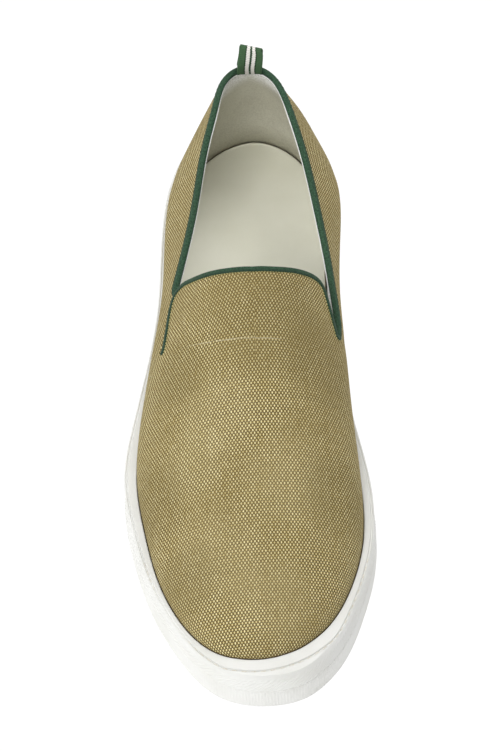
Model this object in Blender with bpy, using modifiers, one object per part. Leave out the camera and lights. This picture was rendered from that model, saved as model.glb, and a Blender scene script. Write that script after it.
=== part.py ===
"""A canvas slip-on shoe for the right foot, on a moulded rubber cup sole.

The shoe stands on the floor at z = 0, with its toe towards -Y and its medial side towards +X.
Every piece is worked out from one last: the outline of the sole, the ridge over the foot, and ribs
that climb from the sole's rim to that ridge. Lengths are millimetres until a mesh is made.
"""

import math

import bmesh
import bpy
import numpy as np

MM = 0.001

# Thicknesses and clearances
FIT_GAP = 0.3
CANVAS_WALL = 1.5
INSOLE_THICKNESS = 4.5
BINDING_TAPE = 0.5
BINDING_GAP = 0.38
BINDING_DEPTH = 2.3
STRAP_TAPE = 0.8

# Sole, with its underside flat from the heel to where the toe spring starts
TOE_SPRING = 9.0
SPRING_START = 205.0
SPRING_CURVE = 1.8

# Sole side, from the floor up and from the rim down
TREAD_BEVEL = 1.4
RIB_BAND_SHARE = 0.44
BUMPER_TOP_DROP = 8.6
GROOVE_DROP = 5.2
GROOVE_WIDTH = 1.2
GROOVE_DEPTH = 0.8
RIM_ROUND = 1.5
BUMPER_RAISE = 0.8
BUMPER_END_MEDIAL = 214.0
BUMPER_END_LATERAL = 203.0
BUMPER_END_RAMP = 0.7

# Pull loop at the back of the collar
STRAP_WIDTH = 11.0
STRAP_RISE = 14.5
STRAP_FOLD = 1.2
STRAP_TWIST = math.radians(-16.0)
STRAP_LEAN = 1.2

# Heights of the swell and the tuck, as shares of a rib's climb
SWELL_HEIGHT = 0.14
TUCK_START, TUCK_RISE = 0.10, 0.26
TUCK_END, TUCK_FALL = 0.40, 0.50

# The last, a row for each rib from the toe to the heel. The columns are the station from the heel, the
# sole's edge at both sides, the station where the rib meets the ridge, and then for both sides how far the
# upper stands inside the sole's edge, the fullness of the rib's shoulder, the swell of the wall near its foot
# and its tuck inwards at the height of the collar.
LAST_COLUMNS = (
    "station", "medial", "lateral", "spine",
    "inset_in", "inset_out", "full_in", "full_out", "swell_in", "swell_out", "tuck_in", "tuck_out",
)
LAST_ROWS = (
    (298.0, 4.5, 4.5, 258.0, 10.3, 10.3, 2.1, 2.1, 0.0, 0.0, 0.0, 0.0),
    (295.3, 19.3, -10.3, 257.5, 11.3, 8.8, 2.1, 2.1, 0.0, 0.0, 0.0, 0.0),
    (287.0, 30.3, -22.1, 256.3, 9.9, 6.1, 2.1, 2.1, 0.0, 0.0, 0.0, 0.0),
    (272.5, 40.0, -32.7, 252.5, 7.3, 4.1, 2.1, 2.1, 0.0, 0.0, 0.0, 0.0),
    (251.0, 47.6, -43.9, 241.0, 5.3, 4.6, 2.1, 2.0, 0.0, 0.0, 0.0, 0.0),
    (225.0, 53.0, -52.4, 221.0, 5.5, 6.1, 2.1, 1.95, 0.0, 0.0, 0.0, 0.0),
    (195.0, 51.8, -57.7, 194.0, 5.7, 7.0, 2.05, 1.8, 1.0, 0.5, -0.3, -0.2),
    (165.0, 45.0, -54.3, 165.0, 4.2, 6.3, 2.0, 1.65, 3.6, 2.1, -1.0, -0.5),
    (135.0, 40.1, -48.3, 136.0, 3.2, 5.4, 1.88, 1.5, 5.3, 3.4, -1.6, -0.4),
    (105.0, 38.6, -44.1, 108.0, 3.2, 5.3, 1.77, 1.45, 4.8, 3.5, -1.2, 0.7),
    (76.0, 38.3, -42.9, 84.0, 3.4, 5.1, 1.5, 1.22, 6.2, 4.2, 0.5, 2.5),
    (49.0, 37.6, -40.8, 64.0, 3.2, 4.4, 1.27, 1.08, 6.8, 3.6, 2.2, 3.1),
    (26.0, 32.5, -34.4, 52.0, 3.7, 4.0, 1.37, 1.27, 3.1, 0.2, 1.9, 3.3),
    (8.5, 20.2, -21.2, 47.0, 4.1, 4.3, 2.1, 1.78, 1.9, 0.1, 1.4, 0.5),
    (0.0, 0.0, 0.0, 45.0, 4.4, 4.4, 3.2, 3.2, 1.5, 1.5, 0.5, 0.5),
)

# Side view, a row for each station: the floor of the cup, the rim of the cup, the ridge over the foot
# and the ridge's place across the foot. Behind the tongue the ridge is only a guide for the ribs.
SIDE_COLUMNS = ("station", "floor", "rim", "ridge", "ridge_across")
SIDE_ROWS = (
    (0.0, 18.5, 36.0, 113.0, 0.0),
    (45.0, 18.2, 33.6, 106.0, 0.0),
    (76.0, 17.6, 32.0, 93.0, 0.5),
    (105.0, 16.3, 30.6, 89.0, 1.2),
    (135.0, 14.6, 29.4, 81.0, 2.0),
    (165.0, 13.2, 28.6, 70.5, 2.5),
    (195.0, 12.5, 28.3, 62.0, 3.0),
    (225.0, 12.9, 28.8, 55.5, 3.5),
    (251.0, 14.4, 30.4, 50.5, 4.0),
    (272.0, 16.9, 32.6, 46.8, 4.0),
    (298.0, 21.3, 36.2, 41.5, 4.0),
)

# Edge of the collar at both sides, in pattern millimetres (station along the foot, girth up the wall): the
# tongue from its middle to the slit, the middle and direction of the slit's round end, and the quarter from
# the slit to the heel. A rib's full climb counts as one girth.
FULL_GIRTH = 90.0
HEEL_GIRTH = 36.5
SLIT_RADIUS = 1.35
MEDIAL_EDGE = {
    "tongue": (
        (120.7, 90.0), (120.5, 83.0), (120.0, 74.0), (118.8, 65.0), (117.4, 56.0), (116.3, 48.0),
        (116.0, 42.5), (116.8, 38.0), (119.0, 34.6), (122.5, 32.2), (127.0, 30.0), (131.0, 28.2),
    ),
    "slit_end": (134.7, 25.6),
    "slit_axis": (0.96, -0.28),
    "quarter": (
        (130.5, 23.3), (126.0, 23.2), (119.0, 24.2), (106.0, 26.6), (85.0, 30.6), (64.0, 34.2),
        (41.0, 37.4), (25.0, 39.1), (8.5, 39.0), (0.0, HEEL_GIRTH),
    ),
}
LATERAL_EDGE = {
    "tongue": (
        (120.7, 90.0), (120.5, 83.0), (120.0, 74.0), (118.9, 64.0), (117.4, 53.0), (116.0, 44.0),
        (115.0, 37.8), (115.5, 34.0), (118.0, 31.4), (122.0, 29.9), (128.0, 28.9), (134.0, 28.2),
    ),
    "slit_end": (141.0, 25.9),
    "slit_axis": (0.993, -0.12),
    "quarter": (
        (136.0, 24.9), (131.0, 25.1), (126.0, 25.4), (121.0, 26.1), (116.0, 27.4), (106.0, 29.9),
        (90.0, 32.9), (66.0, 36.0), (41.0, 38.4), (25.0, 40.0), (8.5, 40.4), (0.0, HEEL_GIRTH),
    ),
}

# How far in front of its slit the lines of the upper stand that end on the tongue, on the slit and behind it,
# how high over their end the lines to the tongue rise on their way, as a share of the climb, and over how
# many ribs behind the slit's tip that grows
LINE_LEADS = (34.0, 17.0, 5.0)
LINE_ARCH = 0.11
LINE_ARCH_REACH = 0.5

# How much closer together the rows of a bowed line lie at the rim, where the wall swells
ROWS_TO_RIM = 0.6

# How many sections each piece has
VAMP_LINES = 16
TONGUE_LINES = 13
SLIT_LINES = 5
QUARTER_LINES = 24
CLIMB_ROWS = 13
SOLE_SECTIONS = 42

MATERIALS = {
    "sole_rubber": ((0.88, 0.88, 0.85), 0.45),
    "canvas": ((0.42, 0.33, 0.16), 0.85),
    "insole_leather": ((0.78, 0.77, 0.71), 0.5),
    "binding_tape": ((0.03, 0.12, 0.06), 0.8),
    "striped_ribbon": ((0.05, 0.16, 0.07), 0.8),
}


def table(columns, rows):
    return {name: np.array(values) for name, values in zip(columns, zip(*rows))}


LAST = table(LAST_COLUMNS, LAST_ROWS)
SIDE = table(SIDE_COLUMNS, SIDE_ROWS)
HEEL = len(LAST_ROWS) - 1
ROUND = 2 * HEEL
SOLE_LENGTH = LAST["station"][0]


def cubic(knots, values, at, period=None):
    """Reads a curve of continuous curvature through the values at the knots, closed if it has a period."""
    knots, values, at = (np.asarray(a, float) for a in (knots, values, at))
    if period:
        knots = np.append(knots, knots[0] + period)
        values = np.append(values, values[:1], axis=0)
        at = knots[0] + (at - knots[0]) % period
    step = np.diff(knots)
    rise = (np.diff(values, axis=0).T / step).T
    count = len(knots)
    system = np.zeros((count, count))
    right = np.zeros(values.shape)
    for i in range(1, count - 1):
        system[i, i - 1 : i + 2] = step[i], 2 * (step[i - 1] + step[i]), step[i - 1]
        right[i] = 3 * (step[i] * rise[i - 1] + step[i - 1] * rise[i])
    if period:
        system[0, [0, -1]] = 1, -1
        system[-1, [-2, 0, 1]] = step[0], 2 * (step[-1] + step[0]), step[-1]
        right[-1] = 3 * (step[0] * rise[-1] + step[-1] * rise[0])
    else:
        system[0, :2] = 2, 1
        right[0] = 3 * rise[0]
        system[-1, -2:] = 1, 2
        right[-1] = 3 * rise[-1]
    slope = np.linalg.solve(system, right)
    cell = np.clip(np.searchsorted(knots, at, side="right") - 1, 0, count - 2)
    width = step[cell]
    t = (at - knots[cell]) / width
    if values.ndim > 1:
        t, width = t[..., None], width[..., None]
    start, end = values[cell], values[cell + 1]
    leave, arrive = slope[cell] * width, slope[cell + 1] * width
    return (
        start * (1 + 2 * t) * (1 - t) ** 2
        + leave * t * (1 - t) ** 2
        + end * t**2 * (3 - 2 * t)
        - arrive * t**2 * (1 - t)
    )


def smooth(share):
    """A share from 0 to 1 with both ends eased."""
    share = np.clip(share, 0, 1)
    return share * share * (3 - 2 * share)


def side(column, station):
    """A height or place of the side view at a station."""
    return cubic(SIDE["station"], SIDE[column], station)


def underside(station):
    """Height of the tread: flat on the floor, then curving up to the toe."""
    beyond = np.clip((station - SPRING_START) / (SOLE_LENGTH - SPRING_START), 0, None)
    return TOE_SPRING * beyond**SPRING_CURVE


def rib(medial, lateral, around):
    """Columns of the last read round the foot: 0 is the toe, HEEL the heel, and the medial side is first."""
    loop = np.concatenate([LAST[medial], LAST[lateral][-2:0:-1]])
    return cubic(np.arange(ROUND), loop, around, ROUND)


def outline(around, inset):
    """Points (across, station) of the sole's edge, moved inwards by the inset."""
    reach = 0.01

    def edge(where):
        return np.stack([rib("medial", "lateral", where), rib("station", "station", where)], -1)

    along = edge(around + reach) - edge(around - reach)
    along /= np.linalg.norm(along, axis=-1, keepdims=True)
    inward = np.stack([along[..., 1], -along[..., 0]], -1)
    return edge(around) + inward * np.asarray(inset)[..., None], inward


def upper_inset(around):
    return rib("inset_in", "inset_out", around)


def last_face(around, climb):
    """Points (across, -station, height) of the upper's outer face, climb 0 at the rim and 1 on the ridge.

    A rib leans in by 1 - sqrt(1 - h ** fullness) of its reach at a share h of its height, and the whole
    face hangs from the slope of the ridge.
    """
    around, climb = np.broadcast_arrays(np.asarray(around, float), np.asarray(climb, float))
    foot, inward = outline(around, upper_inset(around))
    spine = rib("spine", "spine", around)
    target = np.stack([side("ridge_across", spine), spine], -1)
    angle = climb * math.pi / 2
    lean = 1 - np.sqrt(1 - np.sin(angle) ** rib("full_in", "full_out", around))
    swell = climb / SWELL_HEIGHT * np.exp(1 - climb / SWELL_HEIGHT) * (1 - climb**4)
    tuck = smooth((climb - TUCK_START) / TUCK_RISE) * (1 - smooth((climb - TUCK_END) / TUCK_FALL))
    shift = tuck * rib("tuck_in", "tuck_out", around) - swell * rib("swell_in", "swell_out", around)
    plan = foot + (target - foot) * lean[..., None] + inward * shift[..., None]
    drop = side("ridge", foot[..., 1]) - side("rim", foot[..., 1])
    height = side("ridge", plan[..., 1]) - drop * (1 - np.sin(angle))
    return np.stack([plan[..., 0], -plan[..., 1], height], -1)


def last_normal(around, climb):
    """Outward unit normals of the upper's outer face, from its own differences."""
    reach = 0.004
    climb = np.clip(climb, reach, 1 - reach)
    onwards = last_face(around + reach, climb) - last_face(around - reach, climb)
    upwards = last_face(around, climb + reach) - last_face(around, climb - reach)
    normal = np.cross(onwards, upwards)
    return normal / np.linalg.norm(normal, axis=-1, keepdims=True)


def rib_at(station):
    """The medial rib that stands on the sole's edge at a station."""
    fine = np.linspace(0, HEEL, 600)
    return np.interp(-np.asarray(station), -rib("station", "station", fine), fine)


def to_ribs(pattern):
    """Pattern points as (rib, climb)."""
    station, girth = np.asarray(pattern, float).T
    return np.stack([rib_at(station), girth / FULL_GIRTH], -1)


def spread(path, count):
    """Places (rib, climb) at even distances over the last, along a smooth path through the given ones."""

    def lengths(places):
        return np.append(0, np.cumsum(np.linalg.norm(np.diff(last_face(*places.T), axis=0), axis=1)))

    knots = lengths(path)
    fine = np.minimum(cubic(knots, path, np.linspace(0, knots[-1], 400)), (HEEL, 1))
    reached = lengths(fine)
    even = np.linspace(0, reached[-1], count)
    return np.stack([np.interp(even, reached, column) for column in fine.T], -1)


def collar_edge(edge):
    """One side of the collar's edge as (rib, climb): tongue from its middle, slit, quarter to the heel."""
    tip, axis = np.array(edge["slit_end"]), np.array(edge["slit_axis"])
    across = np.array([-axis[1], axis[0]])
    turn = np.linspace(math.pi / 2, -math.pi / 2, SLIT_LINES + 2)[:, None]
    arc = tip + SLIT_RADIUS * (np.cos(turn) * axis + np.sin(turn) * across)
    tongue = spread(to_ribs([*edge["tongue"], arc[0]]), TONGUE_LINES + 1)
    quarter = spread(to_ribs([arc[-1], *edge["quarter"]]), QUARTER_LINES + 1)
    return tongue, to_ribs(arc[1:-1]), quarter


def lines_of_upper(edge):
    """The lines that one side of the upper is built on: feet on the rim, ends, climbs, bows and arches.

    The first lines end on the ridge, and the rest along the tongue, round the slit and along the quarter.
    A bowed line climbs before it turns to the heel, and arches more the further its end lies behind the
    slit's tip, so the lines to the tongue pass over the tip one above the other.
    """
    tongue, arc, quarter = collar_edge(edge)
    ends, climbs = np.concatenate([tongue, arc, quarter]).T
    tongue_foot, slit_foot, quarter_foot = rib_at(edge["slit_end"][0] + np.array(LINE_LEADS))
    to_middle = np.linspace(0, 1, VAMP_LINES, endpoint=False) ** 0.9
    feet = [
        to_middle * tongue_foot,
        np.linspace(tongue_foot, slit_foot, len(tongue)),
        np.linspace(slit_foot, quarter_foot, len(arc) + 2)[1:-1],
        np.linspace(quarter_foot, HEEL, len(quarter)),
    ]
    bows = [
        to_middle,
        np.ones(len(tongue)),
        np.linspace(1, 0, len(arc) + 2)[1:-1],
        np.zeros(len(quarter)),
    ]
    behind = (ends[: len(tongue)] - rib_at(edge["slit_end"][0])) / LINE_ARCH_REACH
    arches = np.zeros(VAMP_LINES + len(ends))
    arches[VAMP_LINES:][: len(tongue)] = LINE_ARCH * (1 - climbs[: len(tongue)]) * smooth(behind)
    ends = np.append(to_middle * ends[0], ends)
    climbs = np.append(np.ones(VAMP_LINES), climbs)
    return np.concatenate(feet), ends, climbs, np.concatenate(bows), arches


def upper_lines():
    """Feet, ends, climbs, bows and arches of the lines right round the foot, the medial side first."""
    medial, lateral = lines_of_upper(MEDIAL_EDGE), lines_of_upper(LATERAL_EDGE)
    around = [closed_loop(medial[i], ROUND - lateral[i]) for i in range(2)]
    return *around, *(closed_loop(medial[i], lateral[i]) for i in (2, 3, 4))


def closed_loop(medial, lateral):
    """A loop from its two halves, both told from toe to heel, without repeating the toe and the heel."""
    return np.concatenate([medial, lateral[-2:0:-1]])


def material(name):
    colour, roughness = MATERIALS[name]
    made = bpy.data.materials.new(name)
    made.use_nodes = True
    shader = made.node_tree.nodes["Principled BSDF"]
    shader.inputs["Base Color"].default_value = (*colour, 1)
    shader.inputs["Roughness"].default_value = roughness
    made.diffuse_color = (*colour, 1)
    return made


def add_piece(name, points, faces, finish, root, wall=None):
    """A mesh piece of the shoe from points in millimetres; a wall makes its open surface a shell."""
    mesh = bpy.data.meshes.new(name)
    mesh.from_pydata((np.asarray(points).reshape(-1, 3) * MM).tolist(), [], faces)
    shape = bmesh.new()
    shape.from_mesh(mesh)
    bmesh.ops.remove_doubles(shape, verts=shape.verts, dist=1e-6)
    if wall is None:
        bmesh.ops.recalc_face_normals(shape, faces=shape.faces)
    shape.to_mesh(mesh)
    shape.free()
    mesh.shade_smooth()
    mesh.set_sharp_from_angle(angle=math.radians(40))
    mesh.materials.append(material(finish))
    piece = bpy.data.objects.new(name, mesh)
    piece.parent = root
    bpy.data.collections["slip_on_shoe"].objects.link(piece)
    if wall is not None:
        shell = piece.modifiers.new("wall", "SOLIDIFY")
        shell.thickness, shell.offset = wall[0] * MM, wall[1]
        shell.use_quality_normals = True
    return piece


def strips(rows, columns, closed):
    """Quads between neighbouring rows of a grid, whose columns may close on themselves."""
    here = np.arange(columns if closed else columns - 1)
    after = (here + 1) % columns
    strip = np.stack([here, after, after + columns, here + columns], -1)
    return [tuple(face) for row in range(rows - 1) for face in (strip + row * columns).tolist()]


def ladder(start, columns):
    """Faces that close a ring of the foot by joining its medial side to its lateral side."""
    half = columns // 2
    medial, lateral = np.arange(1, half - 1), columns - np.arange(1, half - 1)
    rungs = np.stack([medial, medial + 1, lateral - 1, lateral], -1) + start
    toe = (start, start + 1, start + columns - 1)
    heel = (start + half - 1, start + half, start + half + 1)
    return [toe, *rungs.tolist(), heel]


def sole_sections(extra=()):
    """Places round the foot where the sole and the insole have a section, closer at the toe and the heel."""
    share = np.linspace(0, 1, SOLE_SECTIONS)
    eased = share - 0.10 * np.sin(2 * math.pi * share) / (2 * math.pi)
    medial = np.sort(np.append(HEEL * eased, extra))
    return closed_loop(medial, ROUND - medial)


def ring(around, inset, height):
    plan, _ = outline(around, np.broadcast_to(inset, around.shape))
    return np.stack([plan[:, 0], -plan[:, 1], height(plan[:, 1])], -1)


def build_outsole(root):
    """The cup sole: tread edge, toe bumper, ledge, stitch groove, rim, inner wall and floor."""
    ends = rib_at([BUMPER_END_MEDIAL, BUMPER_END_LATERAL])
    ramp = rib_at(BUMPER_END_LATERAL - BUMPER_END_RAMP) - ends[1]
    around = sole_sections([*ends, *(ends + ramp)])
    from_toe = np.minimum(around, ROUND - around)
    bumper_end = np.where(around <= HEEL, ends[0], ends[1])
    raised = BUMPER_RAISE * np.clip((bumper_end + ramp - from_toe) / ramp, 0, 1)
    inner = upper_inset(around) - FIT_GAP
    lean = np.minimum(inner / 6, 1)

    def above(lift):
        return lambda s: underside(s) + lift

    def below(drop):
        return lambda s: side("rim", s) - drop

    def share(part):
        return lambda s: underside(s) * (1 - part) + (side("rim", s) - BUMPER_TOP_DROP) * part

    groove = 1.8 * lean + GROOVE_DEPTH
    rings = [
        ring(around, 3.2, above(0)),
        ring(around, 1.0, above(TREAD_BEVEL)),
        ring(around, 0.8 - raised, above(2 * TREAD_BEVEL)),
        ring(around, 0.8 + 0.2 * lean - raised, share(RIB_BAND_SHARE)),
        ring(around, 0.8 + 0.6 * lean - raised, below(BUMPER_TOP_DROP)),
        ring(around, 0.8 + 0.8 * lean, below(BUMPER_TOP_DROP - BUMPER_RAISE)),
        ring(around, 1.8 * lean, below(GROOVE_DROP + GROOVE_WIDTH)),
        ring(around, groove, below(GROOVE_DROP + 0.8 * GROOVE_WIDTH)),
        ring(around, groove, below(GROOVE_DROP + 0.2 * GROOVE_WIDTH)),
        ring(around, 1.8 * lean, below(GROOVE_DROP)),
        ring(around, 2.0 * lean, below(RIM_ROUND)),
        ring(around, 2.0 * lean + 0.6 * RIM_ROUND, below(0.2 * RIM_ROUND)),
        ring(around, inner - 0.5, below(0.0)),
        ring(around, inner, below(0.4)),
        ring(around, inner, lambda s: side("floor", s)),
    ]
    columns = len(around)
    faces = strips(len(rings), columns, True)
    faces += ladder(0, columns) + ladder((len(rings) - 1) * columns, columns)
    return add_piece("outsole", np.concatenate(rings), faces, "sole_rubber", root)


def build_upper(root):
    """The canvas upper, one wall from inside the cup to the collar, its tongue and its two slits."""
    feet, ends, climbs, bows, arches = upper_lines()
    share = np.linspace(0, 1, CLIMB_ROWS)[:, None] ** (1 + ROWS_TO_RIM * bows)
    turned, climbed = share ** (1 + bows), 1 - (1 - share) ** (1 + bows)
    face = last_face(feet + (ends - feet) * turned, climbs * climbed + arches * 4 * share * (1 - share))
    hem = face[:1].copy()
    hem[..., 2] = side("floor", -hem[..., 1]) + FIT_GAP
    rows = np.concatenate([hem, face])
    faces = strips(len(rows), len(feet), True)
    return add_piece("upper", rows, faces, "canvas", root, wall=(CANVAS_WALL, -1.0))


def edge_frames(around, climb):
    """Points of the collar's edge with unit vectors out of the wall and off its edge."""
    point = last_face(around, climb)
    outward = last_normal(around, climb)
    along = np.roll(point, -1, 0) - np.roll(point, 1, 0)
    along /= np.linalg.norm(along, axis=-1, keepdims=True)
    outward -= along * np.sum(outward * along, -1, keepdims=True)
    outward /= np.linalg.norm(outward, axis=-1, keepdims=True)
    return point, outward, np.cross(outward, along)


def build_binding(root):
    """The tape folded over the collar's edge, one closed loop round tongue, slits and heel."""
    ends, climbs = upper_lines()[1:3]
    edge = slice(VAMP_LINES, len(ends) - VAMP_LINES)
    point, outward, off = edge_frames(ends[edge], climbs[edge])
    inner, cover = -CANVAS_WALL - BINDING_GAP, BINDING_GAP + BINDING_TAPE
    corner = 0.55 * BINDING_TAPE
    section = (
        (BINDING_GAP, -BINDING_DEPTH),
        (cover, -BINDING_DEPTH),
        (cover, cover - 2 * corner),
        (cover - corner, cover),
        (inner - BINDING_TAPE + corner, cover),
        (inner - BINDING_TAPE, cover - 2 * corner),
        (inner - BINDING_TAPE, -BINDING_DEPTH),
        (inner, -BINDING_DEPTH),
        (inner, BINDING_GAP),
        (BINDING_GAP, BINDING_GAP),
    )
    points = np.stack([point + outward * out + off * up for out, up in section], 1)
    columns = len(section)
    faces = strips(len(points), columns, True)
    last = (len(points) - 1) * columns
    faces += [(last + c, last + (c + 1) % columns, (c + 1) % columns, c) for c in range(columns)]
    return add_piece("collar_binding", points, faces, "binding_tape", root)


def build_insole(root):
    """The leather-covered insole that lies on the floor of the cup, inside the upper."""
    around = sole_sections()
    inset = upper_inset(around) + CANVAS_WALL + 2 * FIT_GAP
    edge_round = 0.8

    def level(lift):
        return lambda s: side("floor", s) + lift

    rings = [
        ring(around, inset + edge_round, level(FIT_GAP)),
        ring(around, inset, level(FIT_GAP + edge_round)),
        ring(around, inset, level(INSOLE_THICKNESS - edge_round)),
        ring(around, inset + edge_round, level(INSOLE_THICKNESS)),
    ]
    columns = len(around)
    faces = strips(len(rings), columns, True) + ladder(0, columns) + ladder(3 * columns, columns)
    return add_piece("insole", np.concatenate(rings), faces, "insole_leather", root)


def strap_path():
    """The ribbon's middle line as (out of the wall, off the edge): up inside, over, down outside."""
    outer = BINDING_GAP + BINDING_TAPE + FIT_GAP + STRAP_TAPE / 2 + 0.2
    inner = -CANVAS_WALL - outer
    middle, fold = (inner + outer) / 2, STRAP_RISE - STRAP_FOLD
    turn = np.linspace(math.pi, 0, 7)
    over = np.stack([middle + STRAP_FOLD * np.cos(turn), fold + STRAP_FOLD * np.sin(turn)], -1)
    shoulder = 2.2
    climb = np.array([(inner, -BINDING_DEPTH), (inner, shoulder), (inner + 0.4, 2.6 * shoulder)])
    descent = climb[::-1] * (-1, 1) + (2 * middle, 0)
    return np.concatenate([climb, over, descent])


def build_pull_loop(root):
    """The striped ribbon folded over the back of the collar, curved with it below and free above."""
    path = strap_path()
    columns, reach = 7, 0.6
    offsets = np.linspace(0.5, -0.5, columns) * STRAP_WIDTH
    near = np.linspace(HEEL - reach, HEEL + reach, 61)
    point, outward, off = (a[1:-1] for a in edge_frames(near, HEEL_GIRTH / FULL_GIRTH))
    back = point[len(point) // 2]
    twist = np.array([math.cos(STRAP_TWIST), math.sin(STRAP_TWIST), 0])
    rows = []
    for out, up in path:
        along = (point + outward * out + off * up)[::-1]
        bound = np.stack([np.interp(offsets, along[:, 0], along[:, i]) for i in range(3)], -1)
        straight = back + (STRAP_LEAN, out, up) + offsets[:, None] * twist
        free = smooth((up - 3.5) / (STRAP_RISE - 3.5))
        rows.append(bound * (1 - free) + straight * free)
    faces = strips(len(path), columns, False)
    return add_piece("pull_loop", np.array(rows), faces, "striped_ribbon", root, wall=(STRAP_TAPE, 0.0))


def main():
    for old in list(bpy.data.objects):
        bpy.data.objects.remove(old)
    shoe = bpy.data.collections.new("slip_on_shoe")
    bpy.context.scene.collection.children.link(shoe)
    root = bpy.data.objects.new("shoe_frame", None)
    shoe.objects.link(root)
    outsole = build_outsole(root)
    build_upper(root)
    build_binding(root)
    build_insole(root)
    build_pull_loop(root)
    sole = np.array([vertex.co for vertex in outsole.data.vertices])
    across, along, _ = (sole.min(0) + sole.max(0)) / 2
    root.location = (-across, -along, 0)


if __name__ == "__main__":
    main()
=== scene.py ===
# %% [markdown]
# # Dressing a canvas slip-on shoe
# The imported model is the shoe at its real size, in coarse facets: a cup sole, a hollow upper, an insole, the
# binding of the collar and a pull loop. It is loaded here as a fixed frame. Each piece is then worked out
# again, from the same few sizes, as a fine numpy surface that stands where the facets stand, and gets a
# finish made of nodes.

# %% Load the frame
import math

import bmesh
import bpy
import numpy as np
from mathutils import Matrix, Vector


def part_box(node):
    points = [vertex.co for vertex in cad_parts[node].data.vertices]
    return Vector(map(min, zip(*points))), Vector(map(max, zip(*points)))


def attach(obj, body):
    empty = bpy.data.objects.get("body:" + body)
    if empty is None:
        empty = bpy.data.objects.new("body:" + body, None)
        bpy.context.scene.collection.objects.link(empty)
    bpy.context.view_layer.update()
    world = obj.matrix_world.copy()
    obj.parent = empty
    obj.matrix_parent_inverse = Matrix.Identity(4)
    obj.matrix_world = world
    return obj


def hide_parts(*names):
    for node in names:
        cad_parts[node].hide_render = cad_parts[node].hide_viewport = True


MM = 0.001
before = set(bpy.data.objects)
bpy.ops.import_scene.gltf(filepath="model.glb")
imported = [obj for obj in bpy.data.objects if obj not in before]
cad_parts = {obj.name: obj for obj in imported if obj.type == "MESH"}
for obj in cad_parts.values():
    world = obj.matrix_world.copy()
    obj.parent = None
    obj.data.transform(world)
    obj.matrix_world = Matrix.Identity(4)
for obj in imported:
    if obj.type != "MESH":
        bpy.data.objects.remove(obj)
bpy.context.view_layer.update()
print("nodes of the frame:", sorted(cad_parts))

# %% [markdown]
# ## Camera
# The shoe was seen from above the toes, by a long lens that pointed a little to its medial side. The eye
# keeps its place over the shoe, so that every line of sight stays, and the camera then turns on the spot
# until the shoe is in the middle. A longer focal length fills the frame with it.

# %% Camera
IMAGE_HEIGHT = 751
FOCAL_PIXELS = 2660
ZOOM = 1.24
SENSOR = 36.0
EYE = (0.0422, -0.7983, 1.2570)
PHOTO_AZIMUTH, PHOTO_ELEVATION = math.radians(-1.2), math.radians(57.0)
TURN_LEFT, TURN_UP = math.radians(2.29), math.radians(0.24)


def turn(angle, axis):
    return Matrix.Rotation(angle, 4, axis)


camera_data = bpy.data.cameras.new("camera")
camera_data.sensor_width = SENSOR
camera_data.lens = FOCAL_PIXELS * ZOOM * SENSOR / IMAGE_HEIGHT
camera = bpy.data.objects.new("camera", camera_data)
bpy.context.scene.collection.objects.link(camera)
aimed = turn(PHOTO_AZIMUTH, "Z") @ turn(math.pi / 2 - PHOTO_ELEVATION, "X")
camera.matrix_world = Matrix.Translation(EYE) @ aimed @ turn(TURN_LEFT, "Y") @ turn(TURN_UP, "X")
bpy.context.scene.camera = camera
print(f"lens of {camera_data.lens:.0f} mm")

# %% [markdown]
# ## Nodes written as formulas
# A weave or a stripe is a formula of the place on the cloth. A wire stands for one output of a node, and
# Python's operators on wires add the Math nodes, so the formula reads here as it would on paper. Every other
# kind of node comes from one method of the tree that it stands in. A finish is one Principled material.


# %% Wires and finishes
class Wire:
    """One output of a node. An operator on it adds a Math node."""

    def __init__(self, owner, socket):
        self.owner, self.socket = owner, socket

    def maths(self, operation, *terms):
        return self.owner.node("ShaderNodeMath", {"operation": operation}, dict(enumerate(terms)))

    def __add__(self, other):
        return self.maths("ADD", self, other)

    def __sub__(self, other):
        return self.maths("SUBTRACT", self, other)

    def __rsub__(self, other):
        return self.maths("SUBTRACT", other, self)

    def __mul__(self, other):
        return self.maths("MULTIPLY", self, other)

    def __truediv__(self, other):
        return self.maths("DIVIDE", self, other)

    def __pow__(self, other):
        return self.maths("POWER", self, other)

    def __abs__(self):
        return self.maths("ABSOLUTE", self)

    __radd__, __rmul__ = __add__, __mul__

    def sine(self):
        return self.maths("SINE", self)

    def sign(self):
        return self.maths("SIGN", self)

    def whole(self):
        return self.maths("FLOOR", self)

    def over(self, other):
        """The higher of two values."""
        return self.maths("MAXIMUM", self, other)

    def step(self, low, high):
        """A soft step from 0 at low to 1 at high."""
        settings = {"interpolation_type": "SMOOTHSTEP"}
        return self.owner.node("ShaderNodeMapRange", settings, {0: self, 1: low, 2: high})


class Nodes:
    """A node tree with one main shader. Its other nodes come from the node method."""

    def __init__(self, tree, shader, **constants):
        self.tree, self.shader = tree, tree.nodes[shader]
        for socket, value in constants.items():
            self.shader.inputs[socket.replace("_", " ")].default_value = value

    def node(self, kind, settings=None, sockets=None, out=0):
        made = self.tree.nodes.new(kind)
        for name, value in (settings or {}).items():
            if name == "stops":
                self.set_stops(made.color_ramp, value)
            else:
                setattr(made, name, value)
        for key, value in (sockets or {}).items():
            if isinstance(value, Wire):
                self.tree.links.new(value.socket, made.inputs[key])
            else:
                made.inputs[key].default_value = value
        return Wire(self, made.outputs[out])

    def set_stops(self, ramp, stops):
        """Bands with hard edges: each colour holds from its own position to the next one."""
        ramp.interpolation = "CONSTANT"
        while len(ramp.elements) < len(stops):
            ramp.elements.new(1.0)
        for element, (position, colour) in zip(ramp.elements, stops):
            element.position, element.color = position, (*colour, 1)

    def feed(self, socket, wire):
        self.tree.links.new(wire.socket, self.shader.inputs[socket])


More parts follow.
